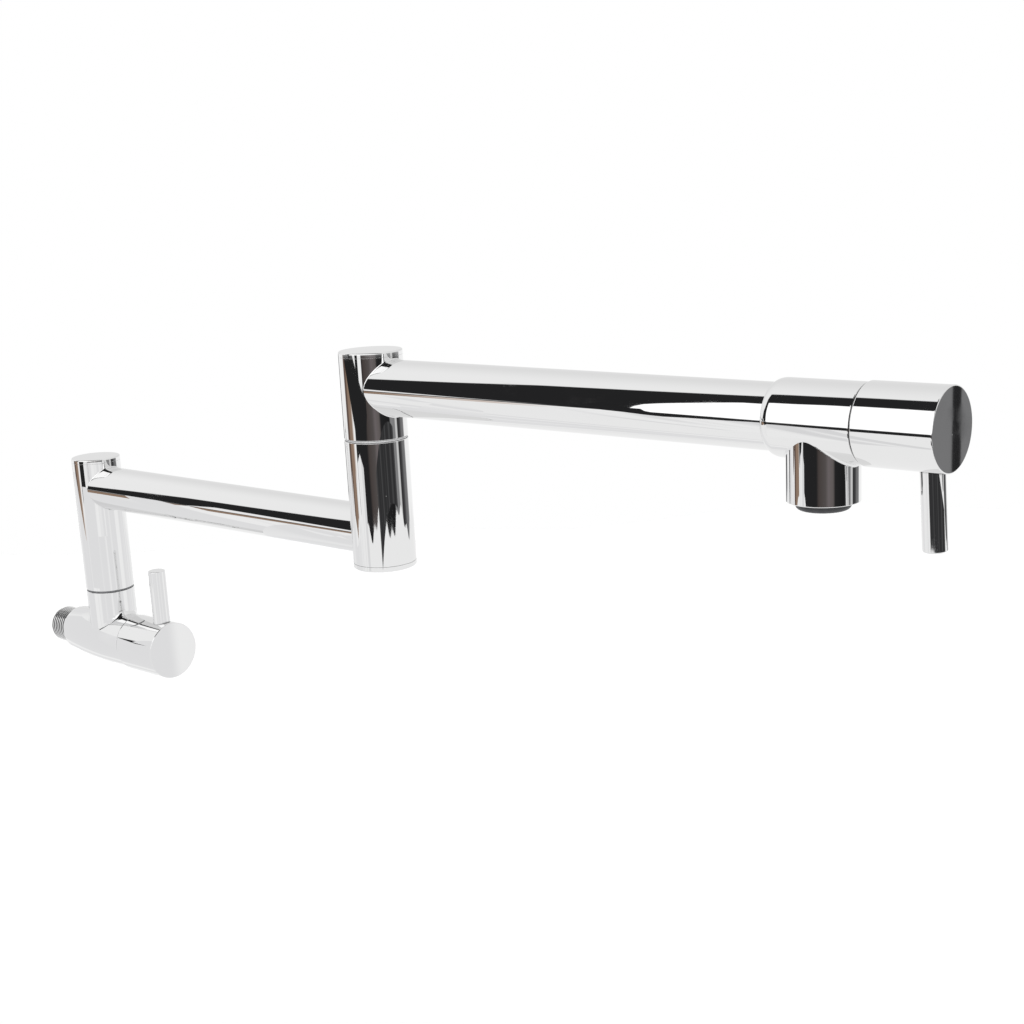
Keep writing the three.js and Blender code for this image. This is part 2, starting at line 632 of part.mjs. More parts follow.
// An arm tube along -Y from the axis of one column, coped to each column that it meets. endColumn is 0 where
// its far end is square.
function armTube(radius, length, height, startColumn, endColumn) {
  const outside = rod(radius, 0, length, OUTER_FACETS);
  const inside = rod(radius - ARM_WALL, -PAST, length + PAST);
  const tube = alongY(outside.subtract(inside), -1).translate([0, 0, height]);
  const cope = (column) => rod(column + SEAT, height - 2 * radius, height + 2 * radius, OUTER_FACETS);
  const first = tube.subtract(cope(startColumn));
  if (!endColumn) return first;
  return first.subtract(cope(endColumn).translate([0, -length, 0]));
}

// ---- Valve bodies ----

// The inlet body's radius at a distance in front of its shoulder: it swells along a parabola.
function inletRadius(distance) {
  const share = Math.min(Math.max(distance / TAPER_LENGTH, 0), 1);
  return BODY_RADIUS - (BODY_RADIUS - SHOULDER_RADIUS) * (1 - share) ** 2;
}

// The inlet body: a tapered tee with a tail socket behind, a cartridge bore in front and a neck on top.
function inletBody() {
  const steps = 6;
  const swell = Array.from({ length: steps }, (_, i) => {
    const distance = EDGE + ((TAPER_LENGTH - EDGE) * i) / (steps - 1);
    return [inletRadius(distance), distance];
  });
  const profile = [
    [0, 0],
    [SHOULDER_RADIUS - EDGE, 0],
    ...swell,
    [BODY_RADIUS, INLET_BODY_LENGTH - EDGE],
    [BODY_RADIUS - EDGE, INLET_BODY_LENGTH],
    [0, INLET_BODY_LENGTH],
  ];
  const barrel = alongY(turned(profile, OUTER_FACETS), -1);
  const column = columnOutside(WALL_COLUMN_RADIUS, 0, WALL_JOINT_HEIGHT, 0, EDGE);
  const mainAt = (y) => inletRadius(NECK_OFFSET - y);
  const fillet = saddleFillet(mainAt, WALL_COLUMN_RADIUS, NECK_FILLET, 1);
  const neck = column.add(fillet).translate([0, -NECK_OFFSET, 0]);
  const tailSocket = alongY(rod(TAIL_RADIUS + SEAT, -PAST, TAIL_GRIP + SEAT), -1);
  const bore = alongY(cartridgeBore(INLET_BODY_LENGTH - TAIL_GRIP), -1);
  const front = bore.translate([0, -INLET_BODY_LENGTH, 0]);
  const riser = rod(WATERWAY_RADIUS, 0, WALL_JOINT_HEIGHT);
  const socketFloor = WALL_JOINT_HEIGHT - POST_GRIP;
  const postSocket = rod(POST_RADIUS + SEAT, socketFloor, WALL_JOINT_HEIGHT + PAST);
  const up = riser.add(postSocket).translate([0, -NECK_OFFSET, 0]);
  return barrel.add(neck).subtract(tailSocket).subtract(front).subtract(up);
}

// The inlet tail: the threaded tube that screws into the wall fitting.
function inletTail() {
  const end = TAIL_LENGTH;
  const tail = turned(
    [
      [TAIL_BORE, -TAIL_GRIP],
      [TAIL_RADIUS, -TAIL_GRIP],
      [TAIL_RADIUS, end - TAIL_LEAD],
      [TAIL_RADIUS - TAIL_LEAD, end],
      [TAIL_BORE, end],
    ],
    OUTER_FACETS,
  );
  return alongY(tail);
}

// The spout body: a barrel on the arm's end, with the outlet below and the cartridge bore in front.
// Built about the arm's axis, with y = 0 at the elbow.
function spoutBody() {
  const steps = 6;
  const start = OUTER_ARM_RADIUS + SEAT + EDGE;
  const shoulder = Array.from({ length: steps + 1 }, (_, i) => {
    const angle = (Math.PI / 2) * (i / steps);
    const radius = start + (BODY_RADIUS - start) * Math.sin(angle);
    return [radius, SPOUT_REAR + SPOUT_SHOULDER * (1 - Math.cos(angle))];
  });
  const profile = [
    [0, SPOUT_REAR],
    ...shoulder,
    [BODY_RADIUS, SPOUT_FRONT - EDGE],
    [BODY_RADIUS - EDGE, SPOUT_FRONT],
    [0, SPOUT_FRONT],
  ];
  const barrel = alongY(turned(profile, OUTER_FACETS), -1);
  const outletOutside = columnOutside(OUTLET_RADIUS, -OUTLET_DROP, 0, EDGE, 0);
  const fillet = saddleFillet(() => BODY_RADIUS, OUTLET_RADIUS, OUTLET_FILLET, -1);
  const branch = outletOutside.add(fillet).translate([0, -OUTLET_REACH, 0]);
  const socketFloor = SPOUT_REAR + SPOUT_SOCKET;
  const armSocket = rod(OUTER_ARM_RADIUS + SEAT, SPOUT_REAR - PAST, socketFloor, OUTER_FACETS);
  const socket = alongY(armSocket, -1);
  const bore = alongY(cartridgeBore(SPOUT_FRONT - socketFloor + PAST), -1);
  const front = bore.translate([0, -SPOUT_FRONT, 0]);
  const seat = -OUTLET_DROP - AERATOR_PROUD + AERATOR_HEIGHT + GASKET_THICKNESS + 3 * SLIDE;
  const pocket = rod(AERATOR_RADIUS + SEAT, -OUTLET_DROP - PAST, seat);
  const drop = rod(WATERWAY_RADIUS, seat - PAST, 0).add(pocket).translate([0, -OUTLET_REACH, 0]);
  return barrel.add(branch).subtract(socket).subtract(front).subtract(drop);
}

// ---- Aerator ----
// Built about the outlet's axis, with z = 0 at the outlet's rim.

function aeratorHousing() {
  const low = -AERATOR_PROUD;
  const inner = AERATOR_RADIUS - AERATOR_WALL;
  const round = Array.from({ length: 3 }, (_, i) => {
    const angle = (Math.PI / 2) * (i / 2);
    const radius = AERATOR_RADIUS - AERATOR_ROUND + AERATOR_ROUND * Math.sin(angle);
    return [radius, low + AERATOR_ROUND * (1 - Math.cos(angle))];
  });
  return turned(
    [
      [inner - AERATOR_LIP, low],
      ...round,
      [AERATOR_RADIUS, low + AERATOR_HEIGHT],
      [inner, low + AERATOR_HEIGHT],
      [inner, low + AERATOR_LIP],
      [inner - AERATOR_LIP, low + AERATOR_LIP],
    ],
    OUTER_FACETS,
  );
}

// The screen: a disc with a honeycomb of holes, on a short skirt.
function aeratorScreen() {
  const radius = AERATOR_RADIUS - AERATOR_WALL - SEAT;
  const low = -AERATOR_PROUD + AERATOR_LIP + SLIDE;
  const high = -AERATOR_PROUD + AERATOR_HEIGHT - SLIDE;
  const shape = corners(INNER_FACETS, radius);
  for (let row = -HOLE_RINGS; row <= HOLE_RINGS; row++) {
    const count = 2 * HOLE_RINGS + 1 - Math.abs(row);
    for (let i = 0; i < count; i++) {
      const x = HOLE_PITCH * (i - (count - 1) / 2);
      const y = HOLE_PITCH * Math.sin(Math.PI / 3) * row;
      const hole = corners(6, HOLE_RADIUS, Math.PI / 6).getPoints();
      shape.holes.push(new THREE.Path(hole.map((p) => new THREE.Vector2(p.x + x, p.y + y))));
    }
  }
  const skirt = ring(radius - SCREEN_SKIRT, radius, low, high);
  return pulled(shape, low, low + SCREEN_FLOOR).add(skirt);
}

function aeratorGasket() {
  const low = -AERATOR_PROUD + AERATOR_HEIGHT + SLIDE;
  return ring(WATERWAY_RADIUS, AERATOR_RADIUS - SLIDE, low, low + GASKET_THICKNESS);
}

// ---- Assembly ----

const potFiller = new THREE.Group();

// Wall side, fixed: inlet body, tail, the inlet cartridge's fixed parts and the wall joint's post.
const inlet = valve("inlet");
const inletValve = new THREE.Group();
inletValve.position.set(0, -INLET_BODY_LENGTH, 0);
inletValve.rotation.x = Math.PI / 2;
inletValve.add(inlet.fixed, inlet.turning);

const wallSpan = WALL_CHAMBER_FLOOR - WALL_JOINT_HEIGHT;
const wallJoint = new THREE.Group();
wallJoint.position.set(0, -NECK_OFFSET, 0);
wallJoint.add(
  piece("wall_swivel_post", swivelPost(WALL_JOINT_HEIGHT, wallSpan, 1), BRASS),
  ...postFittings("wall_post", WALL_JOINT_HEIGHT, wallSpan, 1),
  piece("wall_glide_ring", glideRing(WALL_COLUMN_RADIUS, WALL_JOINT_HEIGHT), PTFE),
);

// Inner arm: wall column, arm tube and the elbow's lower column.
const innerArm = new THREE.Group();
innerArm.position.set(0, -NECK_OFFSET, 0);
const wallPlug = endPlug(WALL_COLUMN_RADIUS, WALL_CHAMBER_RADIUS, WALL_COLUMN_TOP, 1);
const innerTube = armTube(
  INNER_ARM_RADIUS,
  INNER_ARM_REACH,
  INNER_ARM_HEIGHT,
  WALL_COLUMN_RADIUS,
  ELBOW_RADIUS,
);
innerArm.add(
  piece("wall_column", wallColumn(), CHROME),
  piece("wall_column_top_plug", wallPlug, CHROME),
  piece("inner_arm_tube", innerTube, CHROME),
);

const footPlug = endPlug(ELBOW_RADIUS, ELBOW_CHAMBER_RADIUS, ELBOW_BOTTOM, -1);
const elbow = new THREE.Group();
elbow.position.set(0, -INNER_ARM_REACH, 0);
elbow.add(
  piece("elbow_lower_column", elbowLowerColumn(), CHROME),
  piece("elbow_bottom_plug", footPlug, CHROME),
  piece("elbow_glide_ring", glideRing(ELBOW_RADIUS, ELBOW_JOINT_HEIGHT), PTFE),
);

// Outer arm: elbow's upper column with its post, arm tube, spout body and aerator.
const upperMouth = ELBOW_JOINT_HEIGHT + GLIDE_SPACE;
const elbowSpan = upperMouth - ELBOW_BEARING_FLOOR;
const headPlug = endPlug(ELBOW_RADIUS, ELBOW_CHAMBER_RADIUS, ELBOW_TOP, 1);
const outerLength = SPOUT_REAR + SPOUT_SOCKET - SEAT;
const outerTube = armTube(OUTER_ARM_RADIUS, outerLength, OUTER_ARM_HEIGHT, ELBOW_RADIUS, 0);
const outerArm = new THREE.Group();
outerArm.add(
  piece("elbow_swivel_post", swivelPost(upperMouth, elbowSpan, -1), BRASS),
  ...postFittings("elbow_post", upperMouth, elbowSpan, -1),
  piece("elbow_upper_column", elbowUpperColumn(), CHROME),
  piece("elbow_top_plug", headPlug, CHROME),
  piece("outer_arm_tube", outerTube, CHROME),
);

const spout = new THREE.Group();
spout.position.set(0, 0, OUTER_ARM_HEIGHT);
spout.add(piece("spout_body", spoutBody(), CHROME));

const aerator = new THREE.Group();
aerator.position.set(0, -OUTLET_REACH, -OUTLET_DROP);
aerator.add(
  piece("aerator_housing", aeratorHousing(), SCREEN),
  piece("aerator_screen", aeratorScreen(), SCREEN),
  piece("aerator_gasket", aeratorGasket(), RUBBER),
);

const outlet = valve("outlet");
outlet.turning.rotation.z = Math.PI + rad(OUTER_HANDLE_TILT);
const outletValve = new THREE.Group();
outletValve.position.set(0, -SPOUT_FRONT, 0);
outletValve.rotation.x = Math.PI / 2;
outletValve.add(outlet.fixed, outlet.turning);

spout.add(aerator, outletValve);
outerArm.add(spout);
elbow.add(outerArm);
innerArm.add(elbow);
potFiller.add(
  piece("inlet_body", inletBody(), CHROME),
  piece("inlet_tail", inletTail(), CHROME),
  inletValve,
  wallJoint,
  innerArm,
);

export default potFiller;
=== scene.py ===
"""Looks of the wall mounted pot filler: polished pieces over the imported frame, and the studio they stand in.

Every size below is in millimetres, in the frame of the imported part: +Z is up, the wall is at +Y, the arms
point along -Y, and the origin is at the inlet body's rear shoulder.
"""

import logging
import math
from dataclasses import dataclass
from enum import Enum
from functools import partial
from typing import Callable, Sequence

import bpy
import numpy as np
from mathutils import Matrix

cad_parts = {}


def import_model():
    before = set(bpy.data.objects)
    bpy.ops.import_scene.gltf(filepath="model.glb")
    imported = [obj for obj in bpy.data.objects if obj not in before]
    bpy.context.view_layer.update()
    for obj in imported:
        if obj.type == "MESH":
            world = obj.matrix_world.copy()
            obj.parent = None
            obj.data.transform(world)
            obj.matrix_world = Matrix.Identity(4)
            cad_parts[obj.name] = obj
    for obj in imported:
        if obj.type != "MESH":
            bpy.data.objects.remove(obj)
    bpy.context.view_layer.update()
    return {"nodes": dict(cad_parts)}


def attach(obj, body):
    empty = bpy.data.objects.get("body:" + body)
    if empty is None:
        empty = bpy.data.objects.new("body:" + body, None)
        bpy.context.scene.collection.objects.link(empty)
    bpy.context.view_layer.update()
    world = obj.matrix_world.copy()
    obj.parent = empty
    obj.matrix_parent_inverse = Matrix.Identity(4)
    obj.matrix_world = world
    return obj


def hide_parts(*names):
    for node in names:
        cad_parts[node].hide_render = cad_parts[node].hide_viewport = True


log = logging.getLogger("pot_filler")

Array = np.ndarray
Tree = bpy.types.NodeTree
Socket = bpy.types.NodeSocket
Profile = Callable[[Array], Array]  # a height or a radius that depends on a place
Corner = tuple[float, float, float]  # radius, height and rounding of a profile's corner
Curve = Sequence[tuple[float, float]]

MM = 0.001

ROUND, ROUND_LARGE, ROUND_SMALL = 192, 256, 128  # steps round a turned piece
ARC = 6  # faces in a rounded corner
BURIED = 1.2  # how deep a fillet's hidden corner lies inside both of its pieces
CRISP, EASED, SOFT = 0.1, 0.2, 0.3  # roundings of a bored, a broken and a polished corner
BUTT = 0.04  # rounding where a plug's rim meets its column
TINY = 1e-9  # keeps a length of nothing from dividing

WALL_AXIS, ELBOW_AXIS = 36.5, 274.0  # distances of the upright axes in front of the shoulder
WALL_COLUMN, ELBOW_COLUMN = 13.75, 15.4  # radii
BODY_RADIUS = 15.5  # of both valve bodies
POST_BORE = 10.3
WALL_JOINT, ELBOW_JOINT = 30.0, 137.5  # heights of the swivels
OUTER_HEIGHT = 162.6  # height of the outer arm's axis


# ----- Surfaces -----


class Toward(Enum):
    """Which way the axis of a piece points once in place, with the turn about X that brings it there."""

    UP = ((1, 0, 0), (0, 1, 0), (0, 0, 1))
    DOWN = ((1, 0, 0), (0, -1, 0), (0, 0, -1))
    FRONT = ((1, 0, 0), (0, 0, -1), (0, 1, 0))  # -Y, away from the wall
    BACK = ((1, 0, 0), (0, 0, 1), (0, -1, 0))  # +Y, to the wall


@dataclass
class Shell:
    """A closed surface: its points and outward normals, with four-sided and three-sided faces."""

    points: Array
    normals: Array
    quads: Array
    triangles: Array

    def by(self, turn: Array) -> "Shell":
        """Return the surface turned by a matrix."""
        return Shell(self.points @ turn.T, self.normals @ turn.T, self.quads, self.triangles)

    def toward(self, way: Toward) -> "Shell":
        """Return the surface with its own +Z axis brought another way."""
        return self.by(np.array(way.value, float))

    def leaned(self, degrees: float) -> "Shell":
        """Return the surface turned about the Y axis, so a positive angle sends +Z towards +X."""
        c, s = math.cos(math.radians(degrees)), math.sin(math.radians(degrees))
        return self.by(np.array([[c, 0, s], [0, 1, 0], [-s, 0, c]]))

    def moved(self, x: float, y: float, z: float) -> "Shell":
        """Return the surface moved along X, Y and Z."""
        return Shell(self.points + np.array([x, y, z]), self.normals, self.quads, self.triangles)

    def outward(self) -> "Shell":
        """Turn the faces outwards, where their signed volume, the sum of a . (b x c) / 6, is positive."""
        both = np.vstack([self.triangles, self.quads[:, [0, 1, 2]], self.quads[:, [0, 2, 3]]])
        a, b, c = (self.points[both[:, i]] for i in range(3))
        if np.einsum("ij,ij->", a, np.cross(b, c)) < 0:
            return Shell(self.points, self.normals, self.quads[:, ::-1], self.triangles[:, ::-1])
        return self


def joined(shells: Sequence[Shell]) -> Shell:
    """Return one surface that holds several closed ones."""
    starts = np.cumsum([0] + [len(s.points) for s in shells[:-1]])
    return Shell(
        np.vstack([s.points for s in shells]),
        np.vstack([s.normals for s in shells]),
        np.vstack([s.quads + n for s, n in zip(shells, starts)]),
        np.vstack([s.triangles + n for s, n in zip(shells, starts)]),
    )


def full_turn(around: int) -> Array:
    """Return evenly spaced angles in a full turn."""
    return np.arange(around) * 2 * math.pi / around


def round_points(radius: Array | float, height: Array | float, angle: Array) -> Array:
    """Return points about Z: the radius r and height h at the angle a are at (r cos a, r sin a, h)."""
    r, h, a = np.broadcast_arrays(radius, height, angle)
    return np.stack([r * np.cos(a), r * np.sin(a), h], -1)


def grid_faces(rows: int, cols: int) -> Array:
    """Make the faces of a grid that is closed both ways, row by row.

    Point (i, j) is followed by (i + 1, j) and (i, j + 1), both counted round, and each cell is one face.

    Args:
        rows: points in one direction.
        cols: points in the other.

    Returns:
        Four point numbers for each face.
    """
    i, j = np.meshgrid(np.arange(rows), np.arange(cols), indexing="ij")
    down, right = (i + 1) % rows, (j + 1) % cols
    return np.stack([i * cols + j, i * cols + right, down * cols + right, down * cols + j], -1).reshape(-1, 4)


def loop_shell(points: Array, normals: Array) -> Shell:
    """Return the surface of a grid that closes both ways, as on a ring or a tube with a wall."""
    quads = grid_faces(*points.shape[:2])
    return Shell(points.reshape(-1, 3), normals.reshape(-1, 3), quads, np.zeros((0, 3), int)).outward()


def rounded(corners: Sequence[Corner], closed: bool) -> tuple[Array, Array]:
    """A profile in the (radius, height) plane with rounded corners, and its outward normals.

    The corners run counter-clockwise, so the outside is on the right of the way along: a step (dr, dh) has
    the normal (dh, -dr). At a corner that turns by an angle t, an arc of radius q starts q tan(t / 2) before
    it and ends as far after it. A corner with radius 0 lies on a curve, and takes the mean of its neighbours'
    normals.

    Args:
        corners: (radius, height, rounding) of each corner.
        closed: whether the last corner leads back to the first.

    Returns:
        The points and their normals, each n by 2.
    """
    flat = np.array([c[:2] for c in corners], float)
    step = np.roll(flat, -1, 0) - flat
    ahead = step / np.maximum(np.linalg.norm(step, axis=1), TINY)[:, None]
    normal = np.stack([ahead[:, 1], -ahead[:, 0]], 1)
    points: list[Array] = []
    normals: list[Array] = []
    for k, (corner, rounding) in enumerate(zip(flat, (c[2] for c in corners))):
        before, after = normal[k - 1], normal[k]
        ends = {} if closed else {0: after, len(flat) - 1: before}
        if k in ends or rounding <= 0:
            mean = before + after
            points.append(corner[None])
            normals.append(ends.get(k, mean / max(np.linalg.norm(mean), TINY))[None])
            continue
        turn = math.atan2(before[0] * after[1] - before[1] * after[0], float(before @ after))
        start = corner - ahead[k - 1] * rounding * math.tan(abs(turn) / 2)
        side = 1.0 if turn > 0 else -1.0
        angle = np.linspace(0, turn, ARC + 1)
        c, s = np.cos(angle), np.sin(angle)
        arc = np.stack([c * before[0] - s * before[1], s * before[0] + c * before[1]], 1)
        points.append(start - side * rounding * before + side * rounding * arc)
        normals.append(arc)
    return np.vstack(points), np.vstack(normals)


def turned(corners: Sequence[Corner], closed: bool = True, around: int = ROUND) -> Shell:
    """Turn a rounded profile about the Z axis, and close an open one with a fan of triangles at each pole.

    Args:
        corners: the profile's corners; an open one starts and ends on the axis.
        closed: whether the profile closes on itself, as on a ring.
        around: points in a full turn.

    Returns:
        The closed surface.
    """
    profile, normal = rounded(corners, closed)
    angle = full_turn(around)
    points, normals = (round_points(p[:, :1], p[:, 1:], angle) for p in (profile, normal))
    if closed:
        return loop_shell(points, normals)
    rows = len(profile) - 2
    top, first, last = (rows - 1) * around, rows * around, rows * around + 1
    column = np.arange(around)
    beside = (column + 1) % around
    fans = [
        np.stack([np.full(around, first), beside, column], 1),
        np.stack([np.full(around, last), top + column, top + beside], 1),
    ]
    points, normals = (np.vstack([g[1:-1].reshape(-1, 3), g[0, :1], g[-1, :1]]) for g in (points, normals))
    return Shell(points, normals, grid_faces(rows, around)[:top], np.vstack(fans)).outward()


def sleeve(outer: float, inner: float, low: Profile, high: Profile, rim: float = 0.0) -> Shell:
    """A round tube about the Z axis whose two ends may be coped to another round piece.

    Args:
        outer: outside radius.
        inner: bore radius.
        low: height of the lower end as a function of x.
        high: height of the upper end as a function of x, which is level where the tube has a rim.
        rim: rounding of the upper end's two edges.

    Returns:
        The closed surface.
    """
    angle = full_turn(ROUND)
    c = np.cos(angle)
    rows = [(outer, low(outer * c), 1.0, 0.0)]
    if rim > 0:
        sweep = np.linspace(0, math.pi / 2, ARC)
        for edge, sign, bend in ((outer, 1.0, sweep), (inner, -1.0, sweep[::-1])):
            for t in bend:
                inset, drop = rim * (1 - math.cos(t)), rim * (1 - math.sin(t))
                rows.append((edge - sign * inset, high(c) - drop, sign * math.cos(t), math.sin(t)))
    else:
        rows += [(r, high(r * c), sign, 0.0) for r, sign in ((outer, 1.0), (inner, -1.0))]
    rows.append((inner, low(inner * c), -1.0, 0.0))
    radii, heights, out, up = (np.stack([np.broadcast_to(v, ROUND) for v in part]) for part in zip(*rows))
    return loop_shell(round_points(radii, heights, angle), round_points(out, up, angle))


def coped(main: float, sink: float) -> Profile:
    """Return the end of a branch that sinks into a round main piece: sqrt((main - sink)^2 - x^2)."""
    return lambda x: np.sqrt((main - sink) ** 2 - x**2)


def level(height: float) -> Profile:
    """Return an end at one height, or a straight side at one radius, whatever the place is."""
    return lambda x: np.full(np.shape(x), height)


def saddle_fillet(radius_at: Profile, branch: float, ball: float, across: int = 10) -> Shell:
    """The hollow fillet between an upright branch about Z and a lying main piece about Y.

    A ball rolls round the branch and touches both pieces. At the angle a its centre is at x = (branch + ball)
    cos a, y = (branch + ball) sin a, and high enough to touch the main piece along the main piece's own
    normal. The fillet is the arc of the ball between its two touching points, and its normals point at the
    ball's centre. Three steps of y0 = y - ball ny(y0) find the touching point on a main piece that tapers.

    Args:
        radius_at: the main piece's radius as a function of y.
        branch: the branch's radius.
        ball: the fillet's radius.
        across: faces across the fillet.

    Returns:
        The closed ring of the fillet, whose hidden corner lies inside both pieces.
    """
    near = 1e-3

    def slope_at(place: Array) -> Array:
        """Return how fast the main piece's radius grows along y."""
        return (radius_at(place + near) - radius_at(place - near)) / (2 * near)

    angle = full_turn(ROUND)
    x, y = (branch + ball) * np.cos(angle), (branch + ball) * np.sin(angle)
    touch = y
    for _ in range(3):
        slope = slope_at(touch)
        touch = y - ball * (-slope / np.sqrt(1 + slope**2))
    away = 1 / np.sqrt(1 + slope_at(touch) ** 2)
    main = radius_at(touch)
    z = np.sqrt((main + ball * away) ** 2 - x**2)
    shrink = main / (main + ball * away)
    centre = np.stack([x, y, z], 1)
    on_main = np.stack([x * shrink, touch, z * shrink], 1)
    first, last = (round_points(branch, z, angle) - centre) / ball, (on_main - centre) / ball
    sweep = np.arccos(np.clip(np.einsum("ij,ij->i", first, last), -1, 1))[:, None]
    share = np.linspace(0, 1, across + 1)[:, None, None]
    arc = (np.sin((1 - share) * sweep) * first + np.sin(share * sweep) * last) / np.sin(sweep)
    hidden = round_points(branch - BURIED, on_main[:, 2] - BURIED, angle)
    return loop_shell(np.concatenate([centre + ball * arc, hidden[None]]), np.concatenate([-arc, -arc[:1]]))


def add_object(name: str, points: Array, faces: list, material: bpy.types.Material) -> bpy.types.Object:
    """Make an object at the origin, in metres, from points in millimetres.

    Args:
        name: its name.
        points: n by 3.
        faces: the point numbers of each face.
        material: what it is made of.

    Returns:
        The object.
    """
    mesh = bpy.data.meshes.new(name)
    mesh.from_pydata((points * MM).tolist(), [], faces)
    mesh.materials.append(material)
    obj = bpy.data.objects.new(name, mesh)
    bpy.context.scene.collection.objects.link(obj)
    return obj


# ----- Finishes -----


SMOOTH = {"interpolation_type": "SMOOTHSTEP"}
MIX_COLORS = {"data_type": "RGBA", "out": 2}


def linear(code: str) -> tuple[float, float, float, float]:
    """Turn an sRGB hex colour to linear values with the standard two-part curve.

    Args:
        code: six hex digits.

    Returns:
        Red, green, blue and an alpha of 1.
    """
    parts = [int(code[i : i + 2], 16) / 255 for i in (0, 2, 4)]
    r, g, b = (p / 12.92 if p <= 0.04045 else ((p + 0.055) / 1.055) ** 2.4 for p in parts)
    return r, g, b, 1.0


def new_tree(owner: bpy.types.Material | bpy.types.World) -> Tree:
    """Return the emptied node tree of a new material or world."""
    owner.use_nodes = True
    owner.node_tree.nodes.clear()
    return owner.node_tree


def add_node(tree: Tree, kind: str, inputs: dict | Sequence = (), out: int | str = 0,
             **settings: object) -> Socket | None:
    """Add a node with its settings, constants and links.

    Args:
        tree: the node tree.
        kind: the node's type name, without the ShaderNode before it.
        inputs: what its inputs take, by name, by number or in order: a socket is linked, and anything else is
            a constant, where text is a hex colour.
        out: name or number of the output to return.
        **settings: properties of the node itself.

    Returns:
        The output, or None from a node that has none.
    """
    node = tree.nodes.new("ShaderNode" + kind)
    for key, value in settings.items():
        setattr(node, key, value)
    for key, value in inputs.items() if isinstance(inputs, dict) else enumerate(inputs):
        if isinstance(value, Socket):
            tree.links.new(value, node.inputs[key])
        else:
            node.inputs[key].default_value = linear(value) if isinstance(value, str) else value
    return node.outputs[out] if len(node.outputs) else None


@dataclass(frozen=True)
class Finish:
    """A real material: colour and gloss, a fine relief, and patches where these are a little different."""

    name: str
    color: str
    roughness: float
    metallic: float
    patch_color: str
    patch_roughness: float
    grain_mm: float = 0.5
    relief_mm: float = 0.01
    grain_detail: float = 2.0
    patch_mm: float = 5.0
    patch_detail: float = 3.0
    patch_range: tuple[float, float] = (0.35, 0.7)

    def material(self) -> bpy.types.Material:
        """Build the material, with constants on the shader's own inputs and its pattern linked over them."""
        material = bpy.data.materials.new(self.name)
        tree = new_tree(material)
        constants = {"Base Color": self.color, "Roughness": self.roughness, "Metallic": self.metallic}
        shader = add_node(tree, "BsdfPrincipled", constants)
        add_node(tree, "OutputMaterial", {"Surface": shader})
        for name, source in self.pattern(tree, add_node(tree, "TexCoord", out="Object")).items():
            tree.links.new(source, shader.node.inputs[name])
        return material

    def pattern(self, tree: Tree, place: Socket) -> dict[str, Socket]:
        """Make the relief as bump, and the patches as roughness and colour.

        Args:
            tree: the material's nodes.
            place: object coordinates.

        Returns:
            What feeds the shader's inputs.
        """
        relief = self.relief(tree, place)
        noise = {"Vector": place, "Scale": 1 / MM / self.patch_mm, "Detail": self.patch_detail}
        patch = (add_node(tree, "TexNoise", noise, "Fac"), *self.patch_range)
        return {
            "Normal": add_node(tree, "Bump", {"Distance": self.relief_mm * MM, "Height": relief}, "Normal"),
            "Roughness": add_node(tree, "MapRange", (*patch, self.roughness, self.patch_roughness), **SMOOTH),
            "Base Color": self.tint(tree, place, add_node(tree, "MapRange", patch, **SMOOTH)),
        }

    def relief(self, tree: Tree, place: Socket) -> Socket:
        """Return the relief's height, which is noise with one wave for each grain."""
        noise = {"Vector": place, "Scale": 1 / MM / self.grain_mm, "Detail": self.grain_detail}
        return add_node(tree, "TexNoise", noise, "Fac")

    def tint(self, tree: Tree, place: Socket, patch: Socket) -> Socket:
        """Return the colour, which changes in the patches."""
        return add_node(tree, "Mix", {0: patch, 6: self.color, 7: self.patch_color}, **MIX_COLORS)


@dataclass(frozen=True)
class PolishedChrome(Finish):
    """Bright chrome plate on polished brass.

    The eye gets a clean mirror. It shows the polisher's long soft waves, a hint of handling marks where the
    mirror turns a little cloudy, a few dust specks, and painted shade: seams whose depth is painted dark in
    the colour, where little light reaches.
    """

    grain_mm: float = 9.0
    relief_mm: float = 0.0012
    grain_detail: float = 1.0
    patch_mm: float = 26.0
    patch_detail: float = 4.0
    patch_range: tuple[float, float] = (0.52, 0.72)
    speck_spacing_mm: float = 9.0
    speck_mm: float = 0.35  # real dust is finer; drawn as coarse as it needs to show
    speck_soft: float = 0.4  # share of a speck's radius on each side of its edge
    speck_roughness: float = 0.55
    # painted shade in the seams: how far ambient occlusion looks, its range and the painted shade colour
    seam_shade_reach_mm: float = 1.5
    seam_shade_range: tuple[float, float] = (0.4, 0.85)
    seam_shade_color: str = "1d1d1e"

    def pattern(self, tree: Tree, place: Socket) -> dict[str, Socket]:
        """Add dust specks to the roughness.

        Args:
            tree: the material's nodes.
            place: object coordinates.

        Returns:
            What feeds the shader's inputs.
        """
        feeds = super().pattern(tree, place)
        scale = {"Vector": place, "Scale": 1 / MM / self.speck_spacing_mm}
        size = self.speck_mm / 2 / self.speck_spacing_mm
        ends = (size * (1 - self.speck_soft), size * (1 + self.speck_soft), self.speck_roughness, 0.0)
        speck = add_node(tree, "MapRange", (add_node(tree, "TexVoronoi", scale, "Distance"), *ends), **SMOOTH)
        feeds["Roughness"] = add_node(tree, "Math", (feeds["Roughness"], speck), operation="MAXIMUM")
        return feeds

    def tint(self, tree: Tree, place: Socket, patch: Socket) -> Socket:
        """Paint shade into the depth of the seams: darken the colour where little of the surroundings is seen
        within reach.

        Args:
            tree: the material's nodes.
            place: object coordinates; not used.
            patch: share of the patches; not used.

        Returns:
            The colour.
        """
        # painted shade: ambient occlusion darkens the base colour in the seams
        seen = add_node(tree, "AmbientOcclusion", {"Distance": self.seam_shade_reach_mm * MM}, "AO", samples=8)
        share = add_node(tree, "MapRange", (seen, *self.seam_shade_range), **SMOOTH)
        return add_node(tree, "Mix", {0: share, 6: self.seam_shade_color, 7: self.color}, **MIX_COLORS)


